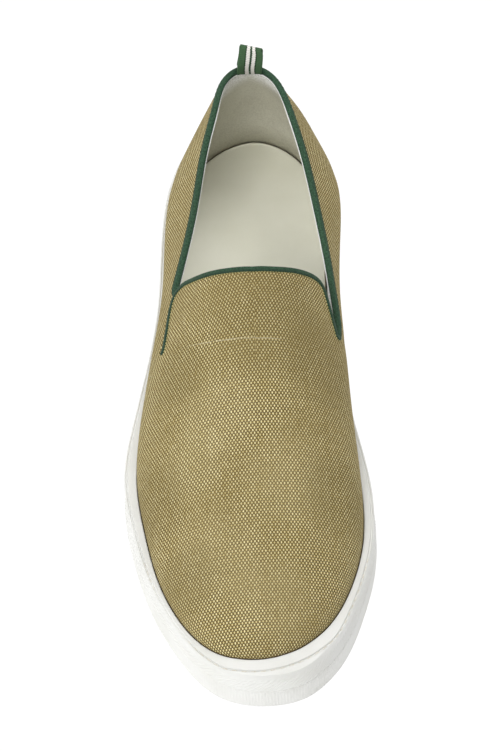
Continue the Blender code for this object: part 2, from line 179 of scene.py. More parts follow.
class Finish(Nodes):
    """One Principled material, built from wires."""

    def __init__(self, name, **constants):
        self.material = bpy.data.materials.new(name)
        self.material.use_nodes = True
        super().__init__(self.material.node_tree, "Principled BSDF", **constants)

    def mix(self, share, first, second):
        """The first colour turning into the second as the share grows."""
        colours = [value if isinstance(value, Wire) else (*value, 1) for value in (first, second)]
        sockets = {0: share, 6: colours[0], 7: colours[1]}
        return self.node("ShaderNodeMix", {"data_type": "RGBA"}, sockets, out=2)

    def place(self):
        return self.node("ShaderNodeTexCoord", out="Object")

    def chart(self):
        """The two lengths of the piece's own chart, in millimetres."""
        flat = self.node("ShaderNodeUVMap", {"uv_map": "chart"})
        split = self.node("ShaderNodeSeparateXYZ", sockets={0: flat})
        return flat, split, Wire(self, split.socket.node.outputs[1])

    def noise(self, vector, scale, detail=2.0, rough=0.5):
        sockets = {"Vector": vector, "Scale": scale, "Detail": detail, "Roughness": rough}
        return self.node("ShaderNodeTexNoise", {"normalize": True}, sockets)

    def chance(self, number):
        """A fixed random share for each whole number, such as one for each yarn."""
        return self.node("ShaderNodeTexWhiteNoise", {"noise_dimensions": "1D"}, {"W": number})

    def bump(self, height, depth, strength=1.0):
        """Relief whose height of 1 stands this many metres high."""
        sockets = {"Height": height, "Distance": depth, "Strength": strength}
        self.feed("Normal", self.node("ShaderNodeBump", sockets=sockets))


# %% [markdown]
# ## Studio
# The shoe was shot on white and cut out, so it shows no ground shadow. Here the camera sees only a white
# backdrop, and the light comes from a soft dome that is brighter on the lateral side. The front lamp stands
# before the toes and models the vamp. The top lamp stands behind the heel and shines forward into the shoe,
# and a weak key on the lateral side opens the shade there.

# %% Studio
WHITE_LIGHT = (1, 1, 1, 1)
SKY_LATERAL, SKY_MEDIAL, BACKDROP = 0.92, 0.14, 1.05
LAMPS = (
    # name, place, size, watts
    ("key", (-1.0, -0.35, 1.3), 1.0, 2.5),
    ("front", (-0.35, -0.9, 1.35), 0.8, 11.2),
    ("top", (0.6, 0.75, 1.35), 0.9, 11.5),
)

scene = bpy.context.scene
scene.view_settings.view_transform = "Standard"
scene.world = bpy.data.worlds.new("studio")
scene.world.use_nodes = True
sky = Nodes(scene.world.node_tree, "Background", Color=WHITE_LIGHT)
direction = sky.node("ShaderNodeTexCoord", out="Generated")
sideways = sky.node("ShaderNodeSeparateXYZ", sockets={0: direction}, out="X")
dome = {0: sideways, 1: -1, 2: 1, 3: SKY_LATERAL, 4: SKY_MEDIAL}
sky.feed("Strength", sky.node("ShaderNodeMapRange", sockets=dome))
backdrop = sky.node("ShaderNodeBackground", sockets={"Color": WHITE_LIGHT, "Strength": BACKDROP})
seen = sky.node("ShaderNodeLightPath", out="Is Camera Ray")
sky_light = Wire(sky, sky.shader.outputs[0])
either = sky.node("ShaderNodeMixShader", sockets={0: seen, 1: sky_light, 2: backdrop})
sky.tree.links.new(either.socket, sky.tree.nodes["World Output"].inputs["Surface"])

for name, place, size, watts in LAMPS:
    lamp_data = bpy.data.lights.new(name, "AREA")
    lamp_data.size, lamp_data.energy = size, watts
    lamp = bpy.data.objects.new(name, lamp_data)
    lamp.location = place
    lamp.rotation_euler = (-lamp.location).to_track_quat("-Z", "Y").to_euler()
    scene.collection.objects.link(lamp)
print(f"a sky and {len(LAMPS)} lamps")

# %% [markdown]
# ## The floor
# A plain sheet, far larger than the shoe and a hair below its tread. It throws light up at the sole's side as
# a lit paper sweep would. The camera looks through it to the backdrop, so it may glow as much as it has to.

# %% Floor
FLOOR_HALF, FLOOR_LEVEL, FLOOR_GLOW = 6.0, -0.0004, 0.6
floor_mesh = bpy.data.meshes.new("floor")
corners = [(x * FLOOR_HALF, y * FLOOR_HALF) for x, y in ((-1, -1), (1, -1), (1, 1), (-1, 1))]
floor_mesh.from_pydata([(x, y, FLOOR_LEVEL) for x, y in corners], [], [(0, 1, 2, 3)])
floor = bpy.data.objects.new("floor", floor_mesh)
scene.collection.objects.link(floor)
glow = {"Emission_Color": WHITE_LIGHT, "Emission_Strength": FLOOR_GLOW}
paper = Finish("white_paper", Base_Color=(0.6, 0.6, 0.6, 1), Roughness=0.9, **glow)
floor.visible_camera = False
floor_mesh.materials.append(paper.material)
print(f"a floor {2 * FLOOR_HALF:.0f} m wide")

# %% [markdown]
# ## The last
# A shoemaker builds a shoe over a last, a solid foot form. Here it is a few tables, in millimetres, with the
# same rows as the part's source: the edge of the sole, the ridge over the foot, and ribs that climb from the
# sole's rim to that ridge. Smooth curves through the rows give the form at any place. A form sculpted by hand
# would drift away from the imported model, and one worked out from its own sizes can't.

# %% Tables of the last
FIT_GAP, CANVAS_WALL, INSOLE_THICKNESS = 0.3, 1.5, 4.5
TOE_SPRING, SPRING_START, SPRING_CURVE = 9.0, 205.0, 1.8
FULL_GIRTH, HEEL_GIRTH = 90.0, 36.5
SWELL_HEIGHT = 0.14
TUCK_START, TUCK_RISE = 0.10, 0.26
TUCK_END, TUCK_FALL = 0.40, 0.50
LAST_COLUMNS = (
    "station", "medial", "lateral", "spine",
    "inset_in", "inset_out", "full_in", "full_out", "swell_in", "swell_out", "tuck_in", "tuck_out",
)
LAST_ROWS = (
    (298.0, 4.5, 4.5, 258.0, 10.3, 10.3, 2.1, 2.1, 0.0, 0.0, 0.0, 0.0),
    (295.3, 19.3, -10.3, 257.5, 11.3, 8.8, 2.1, 2.1, 0.0, 0.0, 0.0, 0.0),
    (287.0, 30.3, -22.1, 256.3, 9.9, 6.1, 2.1, 2.1, 0.0, 0.0, 0.0, 0.0),
    (272.5, 40.0, -32.7, 252.5, 7.3, 4.1, 2.1, 2.1, 0.0, 0.0, 0.0, 0.0),
    (251.0, 47.6, -43.9, 241.0, 5.3, 4.6, 2.1, 2.0, 0.0, 0.0, 0.0, 0.0),
    (225.0, 53.0, -52.4, 221.0, 5.5, 6.1, 2.1, 1.95, 0.0, 0.0, 0.0, 0.0),
    (195.0, 51.8, -57.7, 194.0, 5.7, 7.0, 2.05, 1.8, 1.0, 0.5, -0.3, -0.2),
    (165.0, 45.0, -54.3, 165.0, 4.2, 6.3, 2.0, 1.65, 3.6, 2.1, -1.0, -0.5),
    (135.0, 40.1, -48.3, 136.0, 3.2, 5.4, 1.88, 1.5, 5.3, 3.4, -1.6, -0.4),
    (105.0, 38.6, -44.1, 108.0, 3.2, 5.3, 1.77, 1.45, 4.8, 3.5, -1.2, 0.7),
    (76.0, 38.3, -42.9, 84.0, 3.4, 5.1, 1.5, 1.22, 6.2, 4.2, 0.5, 2.5),
    (49.0, 37.6, -40.8, 64.0, 3.2, 4.4, 1.27, 1.08, 6.8, 3.6, 2.2, 3.1),
    (26.0, 32.5, -34.4, 52.0, 3.7, 4.0, 1.37, 1.27, 3.1, 0.2, 1.9, 3.3),
    (8.5, 20.2, -21.2, 47.0, 4.1, 4.3, 2.1, 1.78, 1.9, 0.1, 1.4, 0.5),
    (0.0, 0.0, 0.0, 45.0, 4.4, 4.4, 3.2, 3.2, 1.5, 1.5, 0.5, 0.5),
)
SIDE_COLUMNS = ("station", "floor", "rim", "ridge", "ridge_across")
SIDE_ROWS = (
    (0.0, 18.5, 36.0, 113.0, 0.0),
    (45.0, 18.2, 33.6, 106.0, 0.0),
    (76.0, 17.6, 32.0, 93.0, 0.5),
    (105.0, 16.3, 30.6, 89.0, 1.2),
    (135.0, 14.6, 29.4, 81.0, 2.0),
    (165.0, 13.2, 28.6, 70.5, 2.5),
    (195.0, 12.5, 28.3, 62.0, 3.0),
    (225.0, 12.9, 28.8, 55.5, 3.5),
    (251.0, 14.4, 30.4, 50.5, 4.0),
    (272.0, 16.9, 32.6, 46.8, 4.0),
    (298.0, 21.3, 36.2, 41.5, 4.0),
)


def table(columns, rows):
    return {name: np.array(values) for name, values in zip(columns, zip(*rows))}


LAST, SIDE = table(LAST_COLUMNS, LAST_ROWS), table(SIDE_COLUMNS, SIDE_ROWS)
HEEL = len(LAST_ROWS) - 1
ROUND = 2 * HEEL
SOLE_LENGTH = LAST["station"][0]
print(f"a last of {HEEL + 1} ribs, {SOLE_LENGTH:.0f} mm long")


# %% Curves through the tables
def cubic(knots, values, at, period=None):
    """A curve of continuous curvature through the values at the knots, closed if it has a period."""
    knots, values, at = (np.asarray(a, float) for a in (knots, values, at))
    if period:
        knots = np.append(knots, knots[0] + period)
        values = np.append(values, values[:1], axis=0)
        at = knots[0] + (at - knots[0]) % period
    step = np.diff(knots)
    rise = (np.diff(values, axis=0).T / step).T
    count = len(knots)
    system, right = np.zeros((count, count)), np.zeros(values.shape)
    for i in range(1, count - 1):
        system[i, i - 1 : i + 2] = step[i], 2 * (step[i - 1] + step[i]), step[i - 1]
        right[i] = 3 * (step[i] * rise[i - 1] + step[i - 1] * rise[i])
    if period:
        system[0, [0, -1]] = 1, -1
        system[-1, [-2, 0, 1]] = step[0], 2 * (step[-1] + step[0]), step[-1]
        right[-1] = 3 * (step[0] * rise[-1] + step[-1] * rise[0])
    else:
        system[0, :2], right[0] = (2, 1), 3 * rise[0]
        system[-1, -2:], right[-1] = (1, 2), 3 * rise[-1]
    slope = np.linalg.solve(system, right)
    cell = np.clip(np.searchsorted(knots, at, side="right") - 1, 0, count - 2)
    width = step[cell]
    t = (at - knots[cell]) / width
    if values.ndim > 1:
        t, width = t[..., None], width[..., None]
    leave, arrive = slope[cell] * width, slope[cell + 1] * width
    return (
        values[cell] * (1 + 2 * t) * (1 - t) ** 2
        + leave * t * (1 - t) ** 2
        + values[cell + 1] * t**2 * (3 - 2 * t)
        - arrive * t**2 * (1 - t)
    )


def smooth(share):
    """A share from 0 to 1 with both ends eased."""
    share = np.clip(share, 0, 1)
    return share * share * (3 - 2 * share)


# %% Faces of the last
def side(column, station):
    """A height or place of the side view at a station."""
    return cubic(SIDE["station"], SIDE[column], station)


def underside(station):
    """Height of the tread: flat on the floor, then a power curve up to the toe."""
    beyond = np.clip((station - SPRING_START) / (SOLE_LENGTH - SPRING_START), 0, None)
    return TOE_SPRING * beyond**SPRING_CURVE


def rib(medial, lateral, around):
    """Columns of the last read round the foot: 0 is the toe, HEEL the heel, and the medial side is first."""
    loop = np.concatenate([LAST[medial], LAST[lateral][-2:0:-1]])
    return cubic(np.arange(ROUND), loop, around, ROUND)


def outline(around, inset):
    """Points (across, station) of the sole's edge, moved inwards by the inset."""
    reach = 0.01

    def edge(where):
        return np.stack([rib("medial", "lateral", where), rib("station", "station", where)], -1)

    along = edge(around + reach) - edge(around - reach)
    along /= np.linalg.norm(along, axis=-1, keepdims=True)
    inward = np.stack([along[..., 1], -along[..., 0]], -1)
    return edge(around) + inward * np.asarray(inset)[..., None], inward


def upper_inset(around):
    return rib("inset_in", "inset_out", around)


def last_face(around, climb):
    """Points (across, -station, height) of the upper's outer face, climb 0 at the rim and 1 on the ridge.

    A rib leans in by 1 - sqrt(1 - h ** fullness) of its reach at a share h of its height, swells out
    just over the rim and is tucked in above. The whole face hangs from the slope of the ridge.
    """
    around, climb = np.broadcast_arrays(np.asarray(around, float), np.asarray(climb, float))
    foot, inward = outline(around, upper_inset(around))
    spine = rib("spine", "spine", around)
    target = np.stack([side("ridge_across", spine), spine], -1)
    angle = climb * math.pi / 2
    lean = 1 - np.sqrt(1 - np.sin(angle) ** rib("full_in", "full_out", around))
    swell = climb / SWELL_HEIGHT * np.exp(1 - climb / SWELL_HEIGHT) * (1 - climb**4)
    tuck = smooth((climb - TUCK_START) / TUCK_RISE) * (1 - smooth((climb - TUCK_END) / TUCK_FALL))
    shift = tuck * rib("tuck_in", "tuck_out", around) - swell * rib("swell_in", "swell_out", around)
    plan = foot + (target - foot) * lean[..., None] + inward * shift[..., None]
    drop = side("ridge", foot[..., 1]) - side("rim", foot[..., 1])
    height = side("ridge", plan[..., 1]) - drop * (1 - np.sin(angle))
    return np.stack([plan[..., 0], -plan[..., 1], height], -1)


def unit(vectors):
    return vectors / np.linalg.norm(vectors, axis=-1, keepdims=True)


def last_normal(around, climb):
    """Outward unit normals of the upper's outer face, from its own differences."""
    reach = 0.004
    climb = np.clip(climb, reach, 1 - reach)
    onwards = last_face(around + reach, climb) - last_face(around - reach, climb)
    upwards = last_face(around, climb + reach) - last_face(around, climb - reach)
    return unit(np.cross(onwards, upwards))


def rib_at(station):
    """The medial rib that stands on the sole's edge at a station."""
    fine = np.linspace(0, HEEL, 600)
    return np.interp(-np.asarray(station), -rib("station", "station", fine), fine)


def closed_loop(medial, lateral):
    """A loop from its two halves, both told from toe to heel, without repeating the toe and the heel."""
    return np.concatenate([medial, lateral[-2:0:-1]])


# %% [markdown]
# ## From arrays to pieces
# Every surface below is a grid of points: rows climb, and columns run round the foot with the medial side
# first, so that faces taken in the same order point outwards. A chart is the same grid laid flat, in
# millimetres, and a pattern reads it to follow the cloth.


# %% Grids and pieces
WELD, SHARP_ANGLE = 2e-6, math.radians(40.0)


def quads(rows, columns, closed=False):
    """Corners of the faces between neighbours. A closed grid joins its last column to its first."""
    r = np.arange(rows - 1)[:, None] * columns
    c = np.arange(columns if closed else columns - 1)[None, :]
    after = (c + 1) % columns
    corners = np.broadcast_arrays(r + c, r + after, r + columns + after, r + columns + c)
    return np.stack(corners, -1).reshape(-1, 4)


def corner_chart(chart, cut=None):
    """A chart's two lengths at every face corner. A cut leaves out the gap between two columns."""
    columns = np.arange(chart.shape[1] - 1)
    if cut is not None:
        columns = np.delete(columns, cut)
    low, high = chart[:-1], chart[1:]
    corners = low[:, columns], low[:, columns + 1], high[:, columns + 1], high[:, columns]
    return np.stack(corners, 2).reshape(-1, 2)


def add_piece(name, points, faces, finish, chart=None, replaces=(), weld=False, values=None):
    """A shown piece from points in last millimetres. It rides on the shoe's one body."""
    mesh = bpy.data.meshes.new(name)
    mesh.from_pydata(((points.reshape(-1, 3) + SHIFT) * MM).tolist(), [], [list(face) for face in faces])
    if chart is not None:
        mesh.uv_layers.new(name="chart").data.foreach_set("uv", chart.astype(np.float32).ravel())
    for label, numbers in (values or {}).items():
        column = mesh.attributes.new(label, "FLOAT", "POINT").data
        column.foreach_set("value", numbers.astype(np.float32).ravel())
    if weld:
        shape = bmesh.new()
        shape.from_mesh(mesh)
        bmesh.ops.remove_doubles(shape, verts=shape.verts, dist=WELD)
        shape.to_mesh(mesh)
        shape.free()
    mesh.shade_smooth()
    mesh.set_sharp_from_angle(angle=SHARP_ANGLE)
    mesh.materials.append(finish.material)
    piece = bpy.data.objects.new(name, mesh)
    scene.collection.objects.link(piece)
    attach(piece, "root")
    if replaces:
        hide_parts(*replaces)
    print(f"{name}: {len(mesh.polygons)} faces")
    return piece


def thicken(piece, outer, inner):
    """A wall between two depths under the piece's surface, in millimetres, both told outwards."""
    wall = piece.modifiers.new("wall", "SOLIDIFY")
    wall.thickness = (outer - inner) * MM
    wall.offset = (outer + inner) / (outer - inner)
    wall.use_quality_normals = True


# %% [markdown]
# ## Rubber
# The sole is one moulding of off-white rubber with a satin skin. Its colour hardly changes, so a faint
# mottling and a fine orange-peel bump carry the surface.

# %% Sole rubber
sole_rubber = Finish("sole_rubber", Roughness=0.5, Specular_IOR_Level=0.4)
spot = sole_rubber.place()
cloud = sole_rubber.noise(spot, 45.0, 3.0)
off_white = sole_rubber.mix(cloud.step(0.3, 0.7), (0.70, 0.70, 0.665), (0.74, 0.74, 0.715))
sole_rubber.feed("Base Color", off_white)
sole_rubber.feed("Roughness", 0.42 + 0.16 * sole_rubber.noise(spot, 260.0))
sole_rubber.bump(sole_rubber.noise(spot, 1400.0), 0.00006, 0.5)
print(f"rubber: {len(sole_rubber.tree.nodes)} nodes")

# %% [markdown]
# ## Cup sole
# The side of the sole is a stack of rings, from the tread up over the rim and down into the cup. Round the
# toe it carries a bumper with two moulded bands: upright ribs below, slanted ribs above. A bump would look
# flat at the outline, so they are real relief, the rings lie close together there and the columns are a third
# of a millimetre apart. The rim is flat from the canvas to a sewn groove, and beyond it a ledge slopes down
# to the bumper.

# %% Sole sizes
TREAD_BEVEL, SIDE_INSET, LEAN_ROOM = 1.4, 0.8, 6.0
RIM_WIDTH, RIM_BEAD, GROOVE_WIDTH, GROOVE_DEPTH, LEDGE_DROP = 5.7, 0.2, 0.9, 0.45, 0.5
BUMPER_RAISE, BUMPER_HEIGHT, BUMPER_TOP_DROP = 0.8, 23.6, 3.4
BUMPER_END_MEDIAL, BUMPER_END_LATERAL, BUMPER_END_RAMP = 214.0, 203.0, 0.7
UPRIGHT_PITCH, UPRIGHT_RELIEF, UPRIGHT_END = 1.37, 0.19, 0.62
SLANT_PITCH, SLANT_RELIEF, SLANT_END, SLANT_TURN, SLANT_ROWS = 2.4, 0.36, 0.985, 58.0, 22
FINE_COLUMN, COARSE_COLUMN = 0.34, 2.0


def sole_columns():
    """Places round the sole's edge, alike on both sides: close together on the bumper, else wide apart."""
    fine = np.linspace(0, HEEL, 4000)
    points, _ = outline(fine, 0.0 * fine)
    length = np.append(0, np.cumsum(np.linalg.norm(np.diff(points, axis=0), axis=1)))
    bumper = np.interp(rib_at(BUMPER_END_LATERAL - 3), fine, length)
    near = np.linspace(0, bumper, int(bumper / FINE_COLUMN))
    far = np.linspace(bumper, length[-1], int((length[-1] - bumper) / COARSE_COLUMN))
    medial = np.interp(np.append(near, far[1:]), length, fine)
    return closed_loop(medial, ROUND - medial)


def edge_length(around):
    """Length along the sole's edge from the toe, negative on the lateral side."""
    points, _ = outline(around, 0.0 * around)
    step = np.linalg.norm(points - np.roll(points, 1, 0), axis=1)
    heel = len(around) // 2
    medial = np.append(0, np.cumsum(step[1 : heel + 1]))
    lateral = np.cumsum(np.append(step[0], step[:heel:-1]))
    return np.concatenate([medial, -lateral[: len(around) - heel - 1][::-1]])


def ring(around, inset, height):
    plan, _ = outline(around, np.broadcast_to(inset, around.shape))
    return np.stack([plan[:, 0], -plan[:, 1], height(plan[:, 1])], -1)


# %% Sole rings
around = sole_columns()
arc = edge_length(around)
plan_edge, _ = outline(around, 0.0 * around)
bumper_end = np.where(around <= HEEL, BUMPER_END_MEDIAL, BUMPER_END_LATERAL)
on_bumper = np.clip((plan_edge[:, 1] - bumper_end) / BUMPER_END_RAMP + 1, 0, 1)
raised = BUMPER_RAISE * on_bumper
inner = upper_inset(around) - FIT_GAP


def above(lift):
    return lambda s: underside(s) + lift


def below(drop):
    return lambda s: side("rim", s) - drop


def level(lift):
    return lambda s: side("floor", s) + lift


def up_side(part, lift=0.0):
    """A share of the way from the tread to the top of the bumper."""
    return lambda s: underside(s) * (1 - part) + (side("rim", s) - BUMPER_TOP_DROP) * part + lift


def wave(phase):
    """A rounded rib for each whole number of the phase, from 0 in the trough to 1 on the crest."""
    return 0.5 + 0.5 * np.cos(2 * math.pi * phase)


def leaning(inner):
    """Share of its full lean that the side has where the rim reaches in to the given inset."""
    return np.minimum(inner / LEAN_ROOM, 1)


def sewn(inner):
    """Inset of the sewn groove where the rim reaches in to the given inset, and the groove's depth."""
    beyond_ledge = 2 * leaning(inner) + 0.3
    return np.maximum(inner - RIM_WIDTH, beyond_ledge), GROOVE_DEPTH * smooth((inner - 3.6) / 1.6)


# %% Profile of the sole's side
lean = leaning(inner)
groove, groove_depth = sewn(inner)
ledge = np.minimum(2 * lean, groove - 0.9)
upright = UPRIGHT_RELIEF * on_bumper * (1 - wave(arc / UPRIGHT_PITCH))
trough = SLANT_RELIEF * on_bumper
bumper_top = SIDE_INSET + 0.6 * lean - raised
# inset from the sole's edge, height
side_profile = [
    (3.2, above(0)),
    (1.9, above(0.35 * TREAD_BEVEL)),
    (1.0, above(TREAD_BEVEL)),
    (SIDE_INSET - raised, above(1.7 * TREAD_BEVEL)),
    (SIDE_INSET - raised + upright, above(2 * TREAD_BEVEL)),
    (SIDE_INSET + 0.1 * lean - raised + upright, up_side(0.6 * UPRIGHT_END)),
    (SIDE_INSET + 0.2 * lean - raised + upright, up_side(UPRIGHT_END, -0.5)),
    (SIDE_INSET + 0.2 * lean - raised + trough, up_side(UPRIGHT_END, -0.2)),
]
for part in np.linspace(UPRIGHT_END, SLANT_END, SLANT_ROWS):
    band = (part - UPRIGHT_END) / (1 - UPRIGHT_END)
    up = (part - UPRIGHT_END) * BUMPER_HEIGHT
    slanted = wave((np.abs(arc - SLANT_TURN) + up) / SLANT_PITCH)
    fade = smooth(min(band, SLANT_END - band) / 0.06)
    relief = trough * (1 - fade * slanted)
    side_profile.append((SIDE_INSET + (0.2 + 0.4 * band) * lean - raised + relief, up_side(part)))
side_profile += [
    (bumper_top + trough, below(BUMPER_TOP_DROP)),
    (0.5 * (bumper_top + ledge) - 0.1, below(0.5 * (BUMPER_TOP_DROP + LEDGE_DROP))),
    (ledge - 0.25, below(LEDGE_DROP + 0.75)),
    (ledge, below(LEDGE_DROP + 0.35)),
    (0.6 * ledge + 0.4 * (groove - 0.6), below(LEDGE_DROP + 0.15)),
    (groove - 0.5 * GROOVE_WIDTH - 0.1, below(LEDGE_DROP)),
    (groove - 0.25 * GROOVE_WIDTH, below(LEDGE_DROP + groove_depth)),
    (groove + 0.2 * GROOVE_WIDTH, below(LEDGE_DROP + groove_depth)),
    (groove + 0.35 * GROOVE_WIDTH, below(0.3)),
    (groove + 0.6 * GROOVE_WIDTH, below(0.06)),
    (0.5 * (groove + 0.6 * GROOVE_WIDTH + inner - 1.0), below(0.0)),
    (np.maximum(inner - 1.0, groove + 0.7 * GROOVE_WIDTH), below(0.0)),
    (inner - 0.5, below(-RIM_BEAD)),
    (inner - 0.1, below(-0.3 * RIM_BEAD)),
    (inner, below(0.4)),
    (inner, level(0.0)),
]
sole_points = np.stack([ring(around, inset, height) for inset, height in side_profile])
print(f"{len(sole_points)} rings of {len(around)} points")

# %% Cup sole
low, high = (np.array(corner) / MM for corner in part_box("outsole"))
flat = sole_points.reshape(-1, 3)
SHIFT = (low + high) / 2 - (flat.min(0) + flat.max(0)) / 2
SHIFT[2] = 0.0


def ladder(start, columns, up):
    """Faces that close a ring by joining its medial side to its lateral side, facing up or down."""
    half = columns // 2
    i = np.arange(1, half)
    rungs = np.stack([start + i, start + i + 1, start + columns - i - 1, start + columns - i], -1)
    toe, heel = (start, start + 1, start + columns - 1), (start + half - 1, start + half, start + half + 1)
    faces = [toe, *rungs[:-1].tolist(), heel]
    return faces if up else [face[::-1] for face in faces]


rings, columns = sole_points.shape[:2]
faces = quads(rings, columns, closed=True).tolist()
faces += ladder(0, columns, up=False) + ladder((rings - 1) * columns, columns, up=True)
add_piece("cup_sole", sole_points, faces, sole_rubber, replaces=["outsole"])

# %% [markdown]
# ## Canvas
# The upper is a plain weave: light warp yarns run along the foot, darker weft yarns cross it, and each passes
# over and under the other in turn. Both heights are formulas of the chart. Where the warp stands higher its
# colour shows, and the same height drives the bump, so the dots are lit as threads. The low places between the
# yarns are darkened with painted shade. The yarns are not quite square to the foot, and one thick pale yarn
# crosses the vamp. Broad soft patches are painted light where the cloth bulges and painted shade where it
# sinks, and a thin band of painted shade runs along the rim where the canvas goes into the sole.

# %% Canvas
WARP_PITCH, WEFT_PITCH, SLUB_STATION = 0.75, 1.14, 152.7
RIM_GAP_SHADE = (0.11, 0.075, 0.035)
PALE, PALE_SHARE = (0.95, 0.85, 0.52), 0.045
DULL, DULL_SHARE = (0.16, 0.12, 0.04), 0.3
# across the chart (medial above 0), station, reach
PAINTED_LIGHT_PATCHES = (
    (-14.0, 182.0, 22.0), (-25.0, 203.0, 20.0), (-15.0, 246.0, 26.0), (16.0, 213.0, 24.0),
    (8.0, 266.0, 22.0),
)
PAINTED_SHADE_PATCHES = (
    (8.0, 140.0, 34.0), (36.0, 158.0, 26.0), (-34.0, 160.0, 20.0), (-48.0, 215.0, 24.0),
    (-29.0, 255.0, 20.0), (40.0, 216.0, 24.0),
)

canvas = Finish("canvas", Roughness=0.92, Specular_IOR_Level=0.2)
chart, u, v = canvas.chart()
x = (u - 0.027 * v + 0.22 * canvas.noise(chart, 0.4)) / WARP_PITCH
y = (v + 0.06 * u + 0.34 * canvas.noise(chart, 0.33)) / WEFT_PITCH
warp_wave, weft_wave = (x * math.pi).sine(), (y * math.pi).sine()
warp = abs(warp_wave) ** 0.35 * (0.5 + 0.5 * (warp_wave.sign() * weft_wave))
weft = abs(weft_wave) ** 0.9 * (0.62 - 0.38 * (weft_wave.sign() * warp_wave))
height = warp.over(weft)
along_warp = canvas.node("ShaderNodeVectorMath", {"operation": "MULTIPLY"}, {0: chart, 1: (1.33, 0.1, 0.0)})
along_weft = canvas.node("ShaderNodeVectorMath", {"operation": "MULTIPLY"}, {0: chart, 1: (0.09, 0.88, 0.0)})
crossing = canvas.chance(x.whole() * 7.31 + y.whole() * 3.17)
warp_tone = 0.4 * crossing + 0.15 * canvas.chance(x.whole()) + 0.6 * canvas.noise(along_warp, 1.0)
weft_tone = 0.3 * canvas.chance(y.whole()) + 0.7 * canvas.noise(along_weft, 1.0)
warp_colour = canvas.mix(warp_tone, (0.45, 0.355, 0.125), (0.93, 0.83, 0.47))
weft_colour = canvas.mix(weft_tone, (0.125, 0.083, 0.022), (0.30, 0.213, 0.069))
thread = canvas.mix((warp - weft).step(-0.06, 0.2), weft_colour, warp_colour)
# Painted shade in the low places between the yarns.
thread = canvas.mix(height.step(0.8, 0.3), thread, (0.06, 0.038, 0.012))
cloud = canvas.noise(chart, 0.03, 3.0).step(0.3, 0.7)
thread = canvas.mix(0.34 * cloud, thread, (0.25, 0.19, 0.07))
# Painted light over the bulges of the cloth and painted shade in its dents, one soft patch at a time.
for tone, amount, patches in ((PALE, PALE_SHARE, PAINTED_LIGHT_PATCHES), (DULL, DULL_SHARE, PAINTED_SHADE_PATCHES)):
    for across, station, reach in patches:
        apart = (u - across) * (u - across) + (v - station) * (v - station)
        thread = canvas.mix(amount * apart.step(reach * reach, 0.0), thread, tone)
from_slub = abs(v + 0.003 * u * u - SLUB_STATION + 0.5 * canvas.noise(chart, 0.15))
uneven = canvas.noise(along_weft, 3.0).step(0.3, 0.6)
slub = from_slub.step(0.4, 0.14) * abs(u + 8.0).step(26.0, 14.0) * uneven
thread = canvas.mix(0.36 * slub, thread, (0.80, 0.74, 0.52))
# Painted shade: a thin dark band on the canvas just above the rim, in the gap where it meets the sole.
rim_height = canvas.node("ShaderNodeAttribute", {"attribute_name": "above_rim"}, out="Fac")
canvas.feed("Base Color", canvas.mix(rim_height.step(0.6, 0.1), thread, RIM_GAP_SHADE))
canvas.bump(height, 0.00035, 0.8)
print(f"canvas: {len(canvas.tree.nodes)} nodes")

# %% [markdown]
# ## Upper
# The canvas is one wall from inside the cup to the collar. Its lines climb from the rim. The front ones end
# on the ridge, and the others along the tongue, round the slits and along the quarters. The few soft folds of
# a new shoe could come from a cloth simulation, but they are listed in its own sizes, as shallow troughs
# and ridges that lift the points along the last's normals, so each stands where it was seen. Beside the
# lateral slit the quarter's edge is sunk a little and passes under the tongue.

# %% Upper sizes
SLIT_RADIUS = 1.35
MEDIAL_EDGE = {
    "tongue": (
        (120.7, 90.0), (120.5, 83.0), (120.0, 74.0), (118.8, 65.0), (117.4, 56.0), (116.3, 48.0),
        (116.0, 42.9), (116.6, 38.9), (118.3, 36.2), (121.6, 34.2), (126.4, 32.0), (131.4, 29.8),
    ),
    "slit_end": (135.6, 26.4),
    "slit_axis": (0.96, -0.28),
    "quarter": (
        (130.5, 23.3), (126.0, 23.2), (119.0, 24.2), (106.0, 26.6), (85.0, 30.6), (64.0, 34.2),
        (41.0, 37.4), (25.0, 39.1), (8.5, 39.0), (0.0, HEEL_GIRTH),
    ),
}
LATERAL_EDGE = {
    "tongue": (
        (120.7, 90.0), (120.5, 83.0), (120.0, 74.0), (118.9, 64.0), (117.4, 53.0), (116.0, 44.0),
        (114.9, 37.0), (115.3, 32.4), (117.0, 29.2), (120.5, 27.5), (126.0, 27.0), (133.0, 27.3),
    ),
    "slit_end": (141.0, 25.9),
    "slit_axis": (0.993, -0.12),
    "quarter": (
        (136.0, 24.9), (131.0, 25.1), (126.0, 25.4), (121.0, 26.1), (116.0, 27.4), (106.0, 29.9),
        (90.0, 32.9), (66.0, 36.0), (41.0, 38.4), (25.0, 40.0), (8.5, 40.4), (0.0, HEEL_GIRTH),
    ),
}
LINE_LEADS, LINE_ARCH, LINE_ARCH_REACH = (34.0, 17.0, 5.0), 0.11, 0.6
ROWS_TO_RIM = 0.6
VAMP_LINES, TONGUE_LINES, SLIT_LINES, QUARTER_LINES = 60, 52, 15, 92
CLIMB_ROWS = 56
